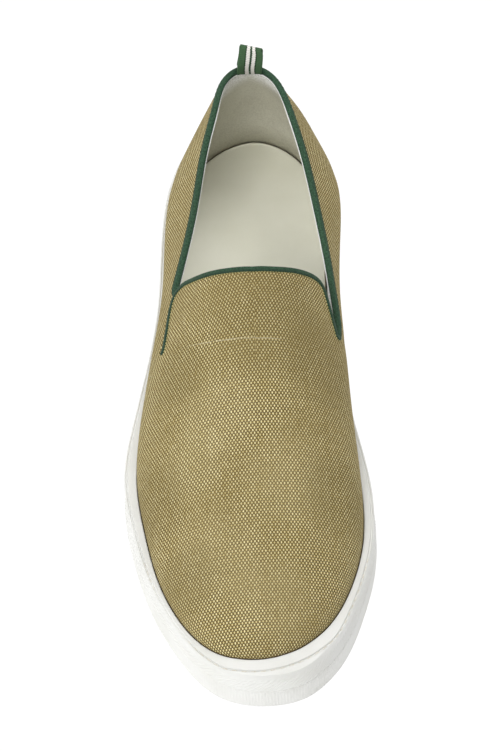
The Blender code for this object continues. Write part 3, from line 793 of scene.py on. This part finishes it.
FOLDS = (
    # side (medial 1, lateral -1), station, girth, turn in degrees, half length, half width, lift
    (1, 92.0, 17.0, 6.0, 24.0, 3.2, -0.5),
    (1, 86.0, 23.0, 4.0, 20.0, 2.6, 0.35),
    (1, 78.0, 11.5, 2.0, 22.0, 3.0, 0.3),
    (1, 128.0, 14.0, -30.0, 14.0, 3.5, -0.35),
    (-1, 96.0, 19.0, 6.0, 22.0, 3.4, -0.45),
    (-1, 80.0, 13.0, 3.0, 24.0, 3.6, 0.3),
    (-1, 140.0, 18.0, -30.0, 14.0, 3.6, -0.3),
    (1, 176.0, 52.0, 74.0, 22.0, 5.0, -0.22),
    (-1, 186.0, 54.0, 76.0, 22.0, 5.0, -0.22),
    (1, 44.0, 20.0, 84.0, 12.0, 4.0, -0.3),
    (-1, 46.0, 20.0, 84.0, 12.0, 4.0, -0.3),
    (-1, 174.0, 70.0, 20.0, 16.0, 8.0, 0.6),
    (-1, 190.0, 68.0, -30.0, 12.0, 5.0, -0.45),
    (-1, 202.0, 56.0, 10.0, 14.0, 8.0, 0.5),
    (-1, 226.0, 40.0, 4.0, 30.0, 9.0, -0.8),
    (-1, 234.0, 66.0, 0.0, 20.0, 9.0, 0.7),
    (1, 203.0, 67.0, 0.0, 15.0, 9.0, 0.6),
    (1, 222.0, 46.0, 0.0, 26.0, 9.0, -0.6),
    (1, 252.0, 66.0, 40.0, 16.0, 9.0, 0.5),
    (1, 20.0, 24.0, 0.0, 15.0, 9.0, 1.2),
    (-1, 22.0, 24.0, 0.0, 16.0, 9.0, 1.4),
)
BACK_SEAM_WIDTH, BACK_SEAM_DEPTH = 0.9, 0.45
TUCKED_UP, TUCKED_IN, TUCKED_FROM, TUCKED_FULL = 2.9, 1.9, 112.0, 120.0
SUNK_FROM, SUNK_OVER = 0.84, 0.12


# %% Edge of the collar
def to_ribs(pattern):
    """Pattern points (station, girth) as (rib, climb)."""
    station, girth = np.asarray(pattern, float).T
    return np.stack([rib_at(station), girth / FULL_GIRTH], -1)


def lengths(points):
    """Length along a path up to each of its points."""
    return np.append(0, np.cumsum(np.linalg.norm(np.diff(points, axis=0), axis=1)))


def spread(path, count):
    """Places (rib, climb) at even distances over the last, along a smooth path through the given ones."""
    knots = lengths(last_face(*path.T))
    fine = np.minimum(cubic(knots, path, np.linspace(0, knots[-1], 1500)), (HEEL, 1))
    reached = lengths(last_face(*fine.T))
    even = np.linspace(0, reached[-1], count)
    return np.stack([np.interp(even, reached, column) for column in fine.T], -1)


def collar_edge(pattern):
    """One side of the collar's edge as (rib, climb): tongue from its middle, slit, quarter to the heel."""
    tip, axis = np.array(pattern["slit_end"]), np.array(pattern["slit_axis"])
    across = np.array([-axis[1], axis[0]])
    bend = np.linspace(math.pi / 2, -math.pi / 2, SLIT_LINES + 2)[:, None]
    bent = tip + SLIT_RADIUS * (np.cos(bend) * axis + np.sin(bend) * across)
    tongue = spread(to_ribs([*pattern["tongue"], bent[0]]), TONGUE_LINES + 1)
    quarter = spread(to_ribs([bent[-1], *pattern["quarter"]]), QUARTER_LINES + 1)
    return tongue, to_ribs(bent[1:-1]), quarter


# %% Lines of the upper
def lines_of_upper(pattern):
    """Foot, end, climb, bow and arch of one side's lines.

    A bowed line climbs before it turns to the heel, and it arches more the further its end lies behind
    the slit's tip, so the lines to the tongue pass over the tip one above the other.
    """
    tongue, bent, quarter = collar_edge(pattern)
    ends, climbs = np.concatenate([tongue, bent, quarter]).T
    tongue_foot, slit_foot, quarter_foot = rib_at(pattern["slit_end"][0] + np.array(LINE_LEADS))
    to_middle = np.linspace(0, 1, VAMP_LINES, endpoint=False) ** 0.9
    feet = [
        to_middle * tongue_foot,
        np.linspace(tongue_foot, slit_foot, len(tongue)),
        np.linspace(slit_foot, quarter_foot, len(bent) + 2)[1:-1],
        np.linspace(quarter_foot, HEEL, len(quarter)),
    ]
    bows = [to_middle, np.ones(len(tongue)), np.linspace(1, 0, len(bent) + 2)[1:-1], np.zeros(len(quarter))]
    behind = np.clip((ends[: len(tongue)] - rib_at(pattern["slit_end"][0])) / LINE_ARCH_REACH, 0, 1)
    arches = np.zeros(VAMP_LINES + len(ends))
    arches[VAMP_LINES:][: len(tongue)] = LINE_ARCH * (1 - climbs[: len(tongue)]) * behind * (2 - behind)
    ends = np.append(to_middle * ends[0], ends)
    climbs = np.append(np.ones(VAMP_LINES), climbs)
    return np.concatenate(feet), ends, climbs, np.concatenate(bows), arches


medial, lateral = lines_of_upper(MEDIAL_EDGE), lines_of_upper(LATERAL_EDGE)
line_feet, line_ends = (closed_loop(medial[i], ROUND - lateral[i]) for i in (0, 1))
line_climbs, line_bows, line_arches = (closed_loop(medial[i], lateral[i]) for i in (2, 3, 4))
heel_line = len(medial[0]) - 1
bent_lines = slice(VAMP_LINES + TONGUE_LINES + 1, VAMP_LINES + TONGUE_LINES + 1 + SLIT_LINES)
tucked = smooth((rib("station", "station", lateral[1]) - TUCKED_FROM) / (TUCKED_FULL - TUCKED_FROM))
tucked[: bent_lines.start], tucked[bent_lines] = 0.0, np.linspace(0, 1, SLIT_LINES) ** 2
line_tucks = closed_loop(np.zeros(heel_line + 1), tucked)
line_climbs = line_climbs + TUCKED_UP / FULL_GIRTH * line_tucks
line_sinks = TUCKED_IN * line_tucks
print(f"{len(line_feet)} lines of the upper")


# %% Grid and folds of the upper
def upper_places(last=1.0):
    """Grid (around, climb) of the upper from the rim to a last share of the way to its edge."""
    rise = np.linspace(0, last, CLIMB_ROWS)[:, None] ** (1 + ROWS_TO_RIM * line_bows)
    turned, climbed = rise ** (1 + line_bows), 1 - (1 - rise) ** (1 + line_bows)
    arched = line_arches * 4 * rise * (1 - rise)
    return line_feet + (line_ends - line_feet) * turned, line_climbs * climbed + arched


def folds(around, climb):
    """Lift of the canvas in millimetres. A fold is a bell across its width and a bell along its length."""
    station, girth = rib("station", "station", around), climb * FULL_GIRTH
    lift = np.zeros(around.shape)
    for foot_side, at, up, turned, length, width, amount in FOLDS:
        beside = np.where((around < HEEL) == (foot_side > 0), 1.0, 0.0)
        c, s = math.cos(math.radians(turned)), math.sin(math.radians(turned))
        onward = (station - at) * c + (girth - up) * s
        sideways = (girth - up) * c - (station - at) * s
        lift += beside * amount * np.exp(-((onward / length) ** 2) - (sideways / width) ** 2)
    from_seam = last_face(around, climb)[..., 0] / BACK_SEAM_WIDTH
    behind = np.abs(around - HEEL) < 1.0
    return lift * smooth(climb / 0.06) - BACK_SEAM_DEPTH * behind * np.exp(-(from_seam**2))


# %% [markdown]
# The chart of the cloth is laid flat as it was cut. In front, a place goes out from the middle of the foot by
# the length of its rib, so the yarns run straight along the vamp. Behind the slits, the wall is rolled out
# towards the heel. The two are blended beside the tongue, and the cloth is cut at the back seam.

# %% Chart of the canvas
CHART_BREAK, CHART_BLEND = 142.0, 50.0


def rib_length(around, start, end):
    """Length over the last from one climb to another."""
    shares = np.linspace(0, 1, 25).reshape(-1, *[1] * np.ndim(around))
    points = last_face(around, start + (end - start) * shares)
    return np.linalg.norm(np.diff(points, axis=0), axis=-1).sum(0)


def vamp_chart(around, climb):
    """Out from the ridge, in the plan direction of the rib, by the rib's length."""
    foot, _ = outline(around, upper_inset(around))
    spine = rib("spine", "spine", around)
    middle = np.stack([side("ridge_across", spine), spine], -1)
    return middle + unit(foot - middle) * rib_length(around, climb, 1.0)[..., None]


def quarter_chart(around, climb, foot_side):
    """The wall rolled out: across is the length up the rib, and along is the length round the shoe."""
    start = rib_at(CHART_BREAK)
    hoop = np.linspace(rib_at(CHART_BREAK + CHART_BLEND), HEEL, 400)
    rolled = lengths(last_face(hoop if foot_side > 0 else ROUND - hoop, 0.2))
    from_toe = around if foot_side > 0 else ROUND - around
    back = np.interp(from_toe, hoop, rolled) - np.interp(start, hoop, rolled)
    corner = vamp_chart(np.array([start if foot_side > 0 else ROUND - start]), np.array([0.0]))[0]
    up = rib_length(around, 0.0 * climb, climb)
    return np.stack([corner[0] - foot_side * up, corner[1] - back], -1)


def canvas_chart(around, climb, foot_side):
    station = rib("station", "station", around)
    behind = smooth((CHART_BREAK + CHART_BLEND / 2 - station) / CHART_BLEND)[..., None]
    return vamp_chart(around, climb) * (1 - behind) + quarter_chart(around, climb, foot_side) * behind


def upper_chart(around, climb):
    """Both sides' charts with the heel's column in each, as two lengths at every face corner."""
    first = canvas_chart(around[:, : heel_line + 1], climb[:, : heel_line + 1], 1)
    closing = np.concatenate([around[:, heel_line:], around[:, :1] + ROUND], 1)
    second = canvas_chart(closing, np.concatenate([climb[:, heel_line:], climb[:, :1]], 1), -1)
    return corner_chart(np.concatenate([first, second], 1), cut=heel_line)


# %% Canvas upper
CANVAS_DEPTH = 0.8


def with_hem(face):
    """The face with one more row below it, the hem that goes down into the cup."""
    hem = face[:1].copy()
    hem[..., 2] = side("floor", -hem[..., 1]) + FIT_GAP
    return np.concatenate([hem, face])


def twice_first(values):
    return np.concatenate([values[:1], values])


places, climbs = upper_places()
sunk = line_sinks * smooth((np.linspace(0, 1, CLIMB_ROWS)[:, None] - SUNK_FROM) / SUNK_OVER)
normals = last_normal(places, climbs)
rows = with_hem(last_face(places, climbs) + normals * (folds(places, climbs) - sunk)[..., None])
flat_chart = upper_chart(twice_first(places), twice_first(climbs))
above_rim = rows[..., 2] - side("rim", -rows[..., 1])
canvas_upper = add_piece(
    "canvas_upper", rows, quads(*rows.shape[:2], closed=True), canvas, flat_chart, ["upper"],
    weld=True, values={"above_rim": above_rim},
)
thicken(canvas_upper, 0.0, -CANVAS_DEPTH)

# %% [markdown]
# ## Linings
# A thin white cotton lies against the canvas, and a grey suede counter lines the heel and grips the foot.
# Both are walls under the same surface, a little deeper, so they can't cut through the canvas. The suede's
# nap makes it blotchy, and painted light makes it paler towards the collar, in a band that widens to both
# sides.

# %% Linings
cotton = Finish("lining_cotton", Roughness=0.9, Specular_IOR_Level=0.2)
_, u, v = cotton.chart()
twill = ((u + v) * 4.2).sine() * 0.5 + 0.5
cotton.feed("Base Color", cotton.mix(twill, (0.86, 0.86, 0.84), (0.95, 0.95, 0.94)))
cotton.bump(twill, 0.00012)
SUEDE_SCALE = 20.0
suede = Finish("heel_suede", Roughness=0.95, Specular_IOR_Level=0.15)
_, u, v = suede.chart()
spot = suede.place()
nap = 0.4 * suede.noise(spot, 90.0, 4.0, 0.6) + 0.6 * suede.noise(spot, 1300.0, 2.0)
# Painted light: a pale band near the collar that widens to both sides, where light falls on the counter.
band = v + 4.0 * nap - 0.7 * abs(u - SUEDE_SCALE * HEEL)
painted_light_band = suede.mix(band.step(17.0, 2.0), (0.585, 0.57, 0.47), (1.0, 1.0, 0.99))
suede.feed("Base Color", suede.mix(0.6 * nap.step(0.65, 0.3), painted_light_band, (0.42, 0.40, 0.32)))
suede.bump(suede.noise(spot, 2600.0, 3.0), 0.00016, 0.6)

SUEDE_FRONT, SUEDE_TOP = 74.0, 0.905
rows = with_hem(last_face(places, climbs) - normals * sunk[..., None])
lining = add_piece(
    "cotton_lining", rows, quads(*rows.shape[:2], closed=True), cotton, flat_chart, ["upper"],
    weld=True,
)
thicken(lining, -CANVAS_DEPTH - 0.03, -CANVAS_WALL)
places, climbs = upper_places(SUEDE_TOP)
suede_ends = rib_at(SUEDE_FRONT), ROUND - rib_at(SUEDE_FRONT)
at_heel = slice(*np.searchsorted(line_feet, suede_ends))
places, climbs = places[:, at_heel], climbs[:, at_heel]
rows = with_hem(last_face(places, climbs))
from_edge = np.linalg.norm(rows - last_face(line_ends, line_climbs)[at_heel], axis=-1)
suede_chart = np.stack([twice_first(places) * SUEDE_SCALE, from_edge], -1)
counter = add_piece(
    "suede_counter", rows, quads(*rows.shape[:2]), suede, corner_chart(suede_chart), ["upper"]
)
thicken(counter, -CANVAS_WALL - 0.02, -CANVAS_WALL - 0.4)

# %% [markdown]
# ## Insole
# A sheet of pale leather over foam, as wide as the foot bed, with a soft grain. Its edge is a stack of rings
# with a rounded corner, and its top is a grid between the two sides, so that it can be dished a little under
# the heel. The leather is painted paler towards the tongue, as painted light where more light reaches in.

# %% Insole
INSOLE_SECTIONS, INSOLE_ACROSS, INSOLE_ROUND, HEEL_DISH = 110, 24, 0.9, 0.9
PAINTED_LIGHT_FROM, PAINTED_LIGHT_FULL = 50.0, 115.0
leather = Finish("insole_leather", Roughness=0.5, Specular_IOR_Level=0.4)
spot = leather.place()
pores = leather.node("ShaderNodeTexVoronoi", {"feature": "F1"}, {"Vector": spot, "Scale": 900.0})
cloud = leather.noise(spot, 30.0, 4.0)
station = leather.node("ShaderNodeSeparateXYZ", {}, {"Vector": spot}, out="Y") * (-1 / MM)
trodden = leather.mix(cloud.step(0.25, 0.75), (0.80, 0.79, 0.66), (0.87, 0.86, 0.74))
# Painted light: the leather turns paler from the heel towards the tongue.
hide = leather.mix(station.step(PAINTED_LIGHT_FROM, PAINTED_LIGHT_FULL), trodden, (0.95, 0.95, 0.90))
cut = leather.node("ShaderNodeAttribute", {"attribute_name": "cut"}, out="Fac")
leather.feed("Base Color", leather.mix(cut.step(0.2, 0.9), hide, (0.40, 0.31, 0.18)))
leather.feed("Roughness", 0.42 + 0.2 * leather.noise(spot, 150.0))
leather.bump(pores + leather.noise(spot, 350.0, 4.0), 0.00004, 0.5)

half = HEEL * (1 - np.cos(np.linspace(0, math.pi, INSOLE_SECTIONS))) / 2
around = closed_loop(half, ROUND - half)
inset = upper_inset(around) + CANVAS_WALL + 2 * FIT_GAP
insole_rings = [
    ring(around, inset + INSOLE_ROUND, level(FIT_GAP)),
    ring(around, inset, level(FIT_GAP + INSOLE_ROUND)),
]
for angle in np.linspace(0, math.pi / 2, 5):
    drawn_in = INSOLE_ROUND * (1 - math.cos(angle))
    lift = INSOLE_THICKNESS - INSOLE_ROUND * (1 - math.sin(angle))
    insole_rings.append(ring(around, inset + drawn_in, level(lift)))
top = insole_rings[-1]
count = len(around)
across = np.linspace(0, 1, INSOLE_ACROSS)[None, :, None]
medial_edge, lateral_edge = top[:INSOLE_SECTIONS], top[-np.arange(INSOLE_SECTIONS) % count]
bed = lateral_edge[:, None] * (1 - across) + medial_edge[:, None] * across
dish = HEEL_DISH * (4 * across * (1 - across))[..., 0] ** 0.7 * smooth((120 + bed[..., 1]) / 50)
bed[..., 2] -= dish
insole_faces = quads(len(insole_rings), count, closed=True).tolist() + ladder(0, count, up=False)
insole_faces += (quads(*bed.shape[:2]) + len(insole_rings) * count).tolist()
insole_points = np.concatenate([np.concatenate(insole_rings), bed.reshape(-1, 3)])
cut_edge = np.append(np.ones(len(insole_rings) * count - 2 * count), np.zeros(2 * count + bed[..., 0].size))
add_piece(
    "leather_insole", insole_points, insole_faces, leather, replaces=["insole"],
    weld=True, values={"cut": cut_edge},
)

# %% [markdown]
# ## Binding
# A green grosgrain tape is folded over the collar's edge and sewn through. Its section is carried along the
# edge: up the outside, over in a flat arch and down inside. Grosgrain has fine ribs across its length, so the
# pattern is a sine of the length along the tape.

# %% Binding
TAPE_ROUND = 6.4
tape = Finish("binding_tape", Roughness=0.75, Specular_IOR_Level=0.3)
chart, u, v = tape.chart()
ribs = (u * (2 * math.pi / 0.55)).sine() * 0.5 + 0.5
fleck = tape.noise(chart, 1.1, 3.0, 0.75).step(0.34, 0.66)
# Painted light and shade: the tape is lighter over the crown of its fold and darker towards both edges.
lit_crown = (v * (math.pi / TAPE_ROUND)).sine().over(0.0)
tape_tone = (0.45 * ribs + 0.55 * fleck) * (0.35 + 0.65 * lit_crown)
tape.feed("Base Color", tape.mix(tape_tone, (0.004, 0.020, 0.009), (0.060, 0.138, 0.075)))
tape.bump(ribs + 0.5 * fleck, 0.00012)

BINDING_TAPE, BINDING_GAP, BINDING_DEPTH = 0.5, 0.06, 2.0
edge = slice(VAMP_LINES, len(line_ends) - VAMP_LINES)


def edge_frames(around, climb, sunk=0.0):
    """Points of the collar's edge with unit vectors along it, out of the wall and off its edge."""
    outward = last_normal(around, climb)
    point = last_face(around, climb) - outward * np.asarray(sunk)[..., None]
    along = unit(np.roll(point, -1, 0) - np.roll(point, 1, 0))
    outward = unit(outward - along * np.sum(outward * along, -1, keepdims=True))
    return point, along, outward, np.cross(outward, along)


def tape_section():
    """Closed profile (out of the wall, off the edge) of the folded tape."""
    middle, bend = -CANVAS_WALL / 2, np.linspace(0, math.pi, 11)
    wide, high = CANVAS_WALL / 2 + BINDING_GAP + BINDING_TAPE, BINDING_GAP + BINDING_TAPE
    leg = np.linspace(-BINDING_DEPTH, -0.3, 5)
    puff = 0.16 * np.sin(np.linspace(0, math.pi, 5))
    outside = np.stack([middle + wide + puff, leg], -1)
    arch = np.stack([middle + wide * np.cos(bend), high * np.sin(bend)], -1)
    inside = np.stack([middle - wide + 0 * leg, leg[::-1]], -1)
    narrow, low = wide - BINDING_TAPE, high - BINDING_TAPE
    hollow = np.stack([middle - narrow * np.cos(bend), low * np.sin(bend)], -1)
    ends = np.array([(middle - narrow, -BINDING_DEPTH), (middle + narrow, -BINDING_DEPTH)])
    return np.concatenate([outside, arch, inside, ends[:1], hollow, ends[1:]])


point, along, outward, off = edge_frames(line_ends[edge], line_climbs[edge], line_sinks[edge])
section = tape_section()
tape_points = point + section[:, None, :1] * outward + section[:, None, 1:] * off
tape_points = np.concatenate([tape_points, tape_points[:1]])
tape_length = lengths(np.concatenate([point, point[:1]]))
profile = lengths(np.concatenate([section, section[:1]]))
tape_chart = np.stack(np.broadcast_arrays(tape_length[None, :], profile[:, None]), -1)
add_piece(
    "grosgrain_binding", tape_points, quads(*tape_points.shape[:2], closed=True), tape,
    corner_chart(tape_chart), ["collar_binding"], weld=True,
)

# %% [markdown]
# The lining's folded edge shows all along the inside of the binding as a thin white line. It is a tube, thin
# at both slits. At the heel it lies under the tape's inner leg, and along the sides it rises beside the tape.

# %% Lining edge
EDGE_HEEL, EDGE_SIDE = (-1.95, -2.3), (-2.35, -0.8)
EDGE_RISE_FROM, EDGE_RISE_OVER, EDGE_TAPER = 14, 26, 12
EDGE_RADIUS_MEDIAL, EDGE_RADIUS_LATERAL = 0.52, 0.40
heel_place = heel_line - VAMP_LINES
lined = slice(heel_place - QUARTER_LINES + 4, heel_place + QUARTER_LINES - 3)
edge_point, edge_out, edge_off = point[lined], outward[lined], off[lined]
beside = smooth((-edge_point[:, 1] - EDGE_RISE_FROM) / EDGE_RISE_OVER)[:, None]
middle = np.array(EDGE_HEEL) * (1 - beside) + np.array(EDGE_SIDE) * beside
to_slit = smooth(np.minimum(np.arange(len(middle)), np.arange(len(middle))[::-1]) / EDGE_TAPER)
radius = np.where(edge_point[:, 0] > 0, EDGE_RADIUS_MEDIAL, EDGE_RADIUS_LATERAL) * (0.15 + 0.85 * to_slit)
spin = np.linspace(0, 2 * math.pi, 9)[:, None]
out, up = middle[:, 0] + radius * np.cos(spin), middle[:, 1] + radius * np.sin(spin)
tube = edge_point + out[..., None] * edge_out + up[..., None] * edge_off
tube_chart = np.stack(np.broadcast_arrays(lengths(edge_point)[None, :], spin * 0.4), -1)
add_piece(
    "lining_edge", tube, quads(*tube.shape[:2]), cotton, corner_chart(tube_chart), ["upper"],
    weld=True,
)

# %% [markdown]
# ## Stitches
# A stitch is a short bead of thread with rounded ends, half sunk in what it holds. One bead is worked out and
# copied by broadcasting to every place along a seam, which is quicker than an object for each stitch.


# %% Stitches
def beads(centres, along, outward, length, radius):
    """Beads whose radius at a share t of the half length is sqrt(1 - t ** 4); returns points and faces."""
    t = np.sin(np.linspace(-1, 1, 9) * math.pi / 2)
    spin = np.linspace(0, 2 * math.pi, 8, endpoint=False)
    swell = radius * np.sqrt(np.clip(1 - t**4, 0, 1))
    sideways = np.cross(outward, along)
    local = np.stack(np.broadcast_arrays(
        (t * length / 2)[:, None], swell[:, None] * np.cos(spin), swell[:, None] * np.sin(spin)
    ), -1)
    axes = np.stack([along, sideways, outward], 1)
    points = centres[:, None, None] + np.einsum("tsk,nkd->ntsd", local, axes)
    each = quads(len(t), len(spin), closed=True)
    faces = each[None] + (np.arange(len(centres)) * len(t) * len(spin))[:, None, None]
    return points, faces.reshape(-1, 4)


def thread_finish(name, dark, light):
    finish = Finish(name, Roughness=0.7, Specular_IOR_Level=0.3)
    spot = finish.place()
    strand = finish.noise(spot, 2500.0, 2.0)
    finish.feed("Base Color", finish.mix(strand.step(0.3, 0.7), dark, light))
    finish.bump(strand, 0.00008)
    return finish


def evenly(path, pitch, closed=True):
    """Share indices along a path, one for each pitch."""
    reached = lengths(np.concatenate([path, path[:1]]) if closed else path)
    count = int(round(reached[-1] / pitch))
    return np.interp(np.arange(count) * reached[-1] / count, reached, np.arange(len(reached)))


def take(values, at):
    """Rows of a closed list read between its places."""
    low = np.floor(at).astype(int)
    share = (at - low)[:, None]
    return values[low % len(values)] * (1 - share) + values[(low + 1) % len(values)] * share


def sew(name, thread, seam, along, outward, at, size, slot, replaces):
    """One row of stitches of a size (length, radius) at the given places along a seam."""
    points, faces = beads(take(seam, at), unit(take(along, at)), unit(take(outward, at)), *size)
    add_piece(name, points, faces, thread, replaces=replaces, weld=True)


# %% Stitches of the binding
on_binding = "binding_tape", ["collar_binding"]
TAPE_STITCH, TAPE_STITCH_PITCH, TAPE_STITCH_DEPTH = (1.5, 0.2), 2.6, 1.5
green_thread = thread_finish("binding_thread", (0.012, 0.03, 0.018), (0.03, 0.065, 0.038))
seam = point + outward * (BINDING_GAP + BINDING_TAPE + 0.03) - off * TAPE_STITCH_DEPTH
at = evenly(seam, TAPE_STITCH_PITCH)
sew("binding_stitches", green_thread, seam, along, outward, at, TAPE_STITCH, *on_binding)

EDGE_STITCH, EDGE_STITCH_PITCH = (0.75, 0.2), 1.3
yellow_thread = thread_finish("edge_thread", (0.36, 0.33, 0.12), (0.60, 0.55, 0.24))
seam = point + outward * 0.05 - off * (BINDING_DEPTH + 0.05)
at = evenly(seam, EDGE_STITCH_PITCH)
sew("edge_stitches", yellow_thread, seam, along, outward, at, EDGE_STITCH, *on_binding)

# %% Stitches of the suede and the sole
SUEDE_STITCH, SUEDE_STITCH_PITCH, SUEDE_STITCH_SHARE = (1.0, 0.16), 1.5, 0.878
grey_thread = thread_finish("suede_thread", (0.48, 0.47, 0.42), (0.74, 0.73, 0.69))
stitched = [values[-1, at_heel] for values in upper_places(SUEDE_STITCH_SHARE)]
seam_out = -last_normal(*stitched)
seam = last_face(*stitched) + seam_out * (CANVAS_WALL + 0.42)
seam_along = unit(np.gradient(seam, axis=0))
at = evenly(seam, SUEDE_STITCH_PITCH, closed=False)[1:]
sew("suede_stitches", grey_thread, seam, seam_along, seam_out, at, SUEDE_STITCH, "canvas", ["upper"])

SOLE_STITCH, SOLE_STITCH_PITCH, SOLE_SEAM_FROM = (2.4, 0.22), 4.1, 236.0
tan_thread = thread_finish("sole_thread", (0.62, 0.57, 0.47), (0.84, 0.82, 0.77))
sole_around = np.linspace(0, ROUND, 2400, endpoint=False)
seam_inset, _ = sewn(upper_inset(sole_around) - FIT_GAP)
seam = ring(sole_around, seam_inset, below(LEDGE_DROP + GROOVE_DEPTH - 0.12))
seam_along = unit(np.roll(seam, -1, 0) - np.roll(seam, 1, 0))
seam_up = np.broadcast_to((0.0, 0.0, 1.0), seam.shape)
at = evenly(seam, SOLE_STITCH_PITCH)
at = at[take(seam, at)[:, 1] < -SOLE_SEAM_FROM]
sew("sole_stitches", tan_thread, seam, seam_along, seam_up, at, SOLE_STITCH, "sole_rubber", ["outsole"])

# %% [markdown]
# ## Pull loop
# A striped ribbon goes up inside the heel, folds over and comes down outside. It follows the collar's curve
# where it is sewn and straightens above, so each of its rows is a blend of the two. The stripes are bands of
# the chart's width, frayed a little by the weave.

# %% Ribbon
STRAP_WIDTH, STRAP_HALF_WALL, STRAP_RISE, STRAP_FOLD = 11.0, 0.38, 14.5, 1.2
STRAP_TWIST, STRAP_LEAN, STRAP_NARROWED = math.radians(-16.0), 1.2, 0.14
STRAP_STANDOFF, STRAP_START, STRAP_CORNER, STRAP_SHOULDER, STRAP_FREE = 1.12, -1.6, 2.2, 2.2, 3.5
GREEN, DEEP_GREEN, WHITE = (0.050, 0.118, 0.048), (0.017, 0.055, 0.018), (0.90, 0.87, 0.82)
ribbon = Finish("striped_ribbon", Roughness=0.7, Specular_IOR_Level=0.3)
chart, u, v = ribbon.chart()
stops = [
    (0.0, GREEN), (0.23, DEEP_GREEN), (0.29, WHITE), (0.44, DEEP_GREEN), (0.535, WHITE), (0.69, DEEP_GREEN),
    (0.75, GREEN),
]
frayed = u + 0.2 * ribbon.noise(chart, 3.0) - 0.1 + 0.13 * (v * (2 * math.pi / 0.95)).sine()
stripes = ribbon.node("ShaderNodeValToRGB", {"stops": stops}, {0: frayed / STRAP_WIDTH})
ribs = (v * (2 * math.pi / 0.7)).sine() * 0.5 + 0.5
ribbon.feed("Base Color", ribbon.mix(0.28 * ribs, stripes, (0.02, 0.03, 0.02)))
ribbon.bump(ribs, 0.00014)
print(f"ribbon: {len(ribbon.tree.nodes)} nodes")


# %% Pull loop
def strap_path():
    """The ribbon's middle line as (out of the wall, off the edge): up inside, over, down outside."""
    outer, inner = STRAP_STANDOFF, -CANVAS_WALL - STRAP_STANDOFF
    middle, fold = (inner + outer) / 2, STRAP_RISE - STRAP_FOLD
    turned = np.linspace(math.pi, 0, 7)
    over = np.stack([middle + STRAP_FOLD * np.cos(turned), fold + STRAP_FOLD * np.sin(turned)], -1)
    climb = np.array([(inner, STRAP_START), (inner, STRAP_SHOULDER), (inner + 0.4, 2.6 * STRAP_SHOULDER)])
    descent = climb[::-1] * (-1, 1) + (2 * middle, 0)
    return np.concatenate([climb, over, descent])


knots = strap_path()
strap_rows = lengths(knots)
path = cubic(strap_rows, knots, np.linspace(0, strap_rows[-1], 72))
offsets = np.linspace(0.5, -0.5, 15) * STRAP_WIDTH
near = np.linspace(HEEL - 0.6, HEEL + 0.6, 61)
strap_point, _, strap_out, strap_off = (a[1:-1] for a in edge_frames(near, HEEL_GIRTH / FULL_GIRTH))
back = strap_point[len(strap_point) // 2]
twisted = np.array([math.cos(STRAP_TWIST), math.sin(STRAP_TWIST), 0])
strap = []
for out, up in path:
    curve = (strap_point + strap_out * out + strap_off * up)[::-1]
    bound = np.stack([np.interp(offsets, curve[:, 0], curve[:, i]) for i in range(3)], -1)
    if out < 0:
        bound[:, 2] += STRAP_CORNER * (2 * offsets / STRAP_WIDTH) ** 2 * smooth((2.2 - up) / 3.8)
    narrowed = 1 - STRAP_NARROWED * smooth((up - STRAP_RISE + 2.2) / 2.2) ** 2
    straight = back + (STRAP_LEAN, out, up) + offsets[:, None] * twisted * narrowed
    free = smooth((up - STRAP_FREE) / (STRAP_RISE - STRAP_FREE))
    strap.append(bound * (1 - free) + straight * free)
strap = np.array(strap)
strap_chart = np.stack(np.broadcast_arrays(
    STRAP_WIDTH / 2 - offsets[None, :], np.linspace(0, strap_rows[-1], len(path))[:, None]
), -1)
loop = add_piece(
    "ribbon_loop", strap, quads(*strap.shape[:2]), ribbon, corner_chart(strap_chart),
    ["pull_loop"],
)
thicken(loop, STRAP_HALF_WALL, -STRAP_HALF_WALL)
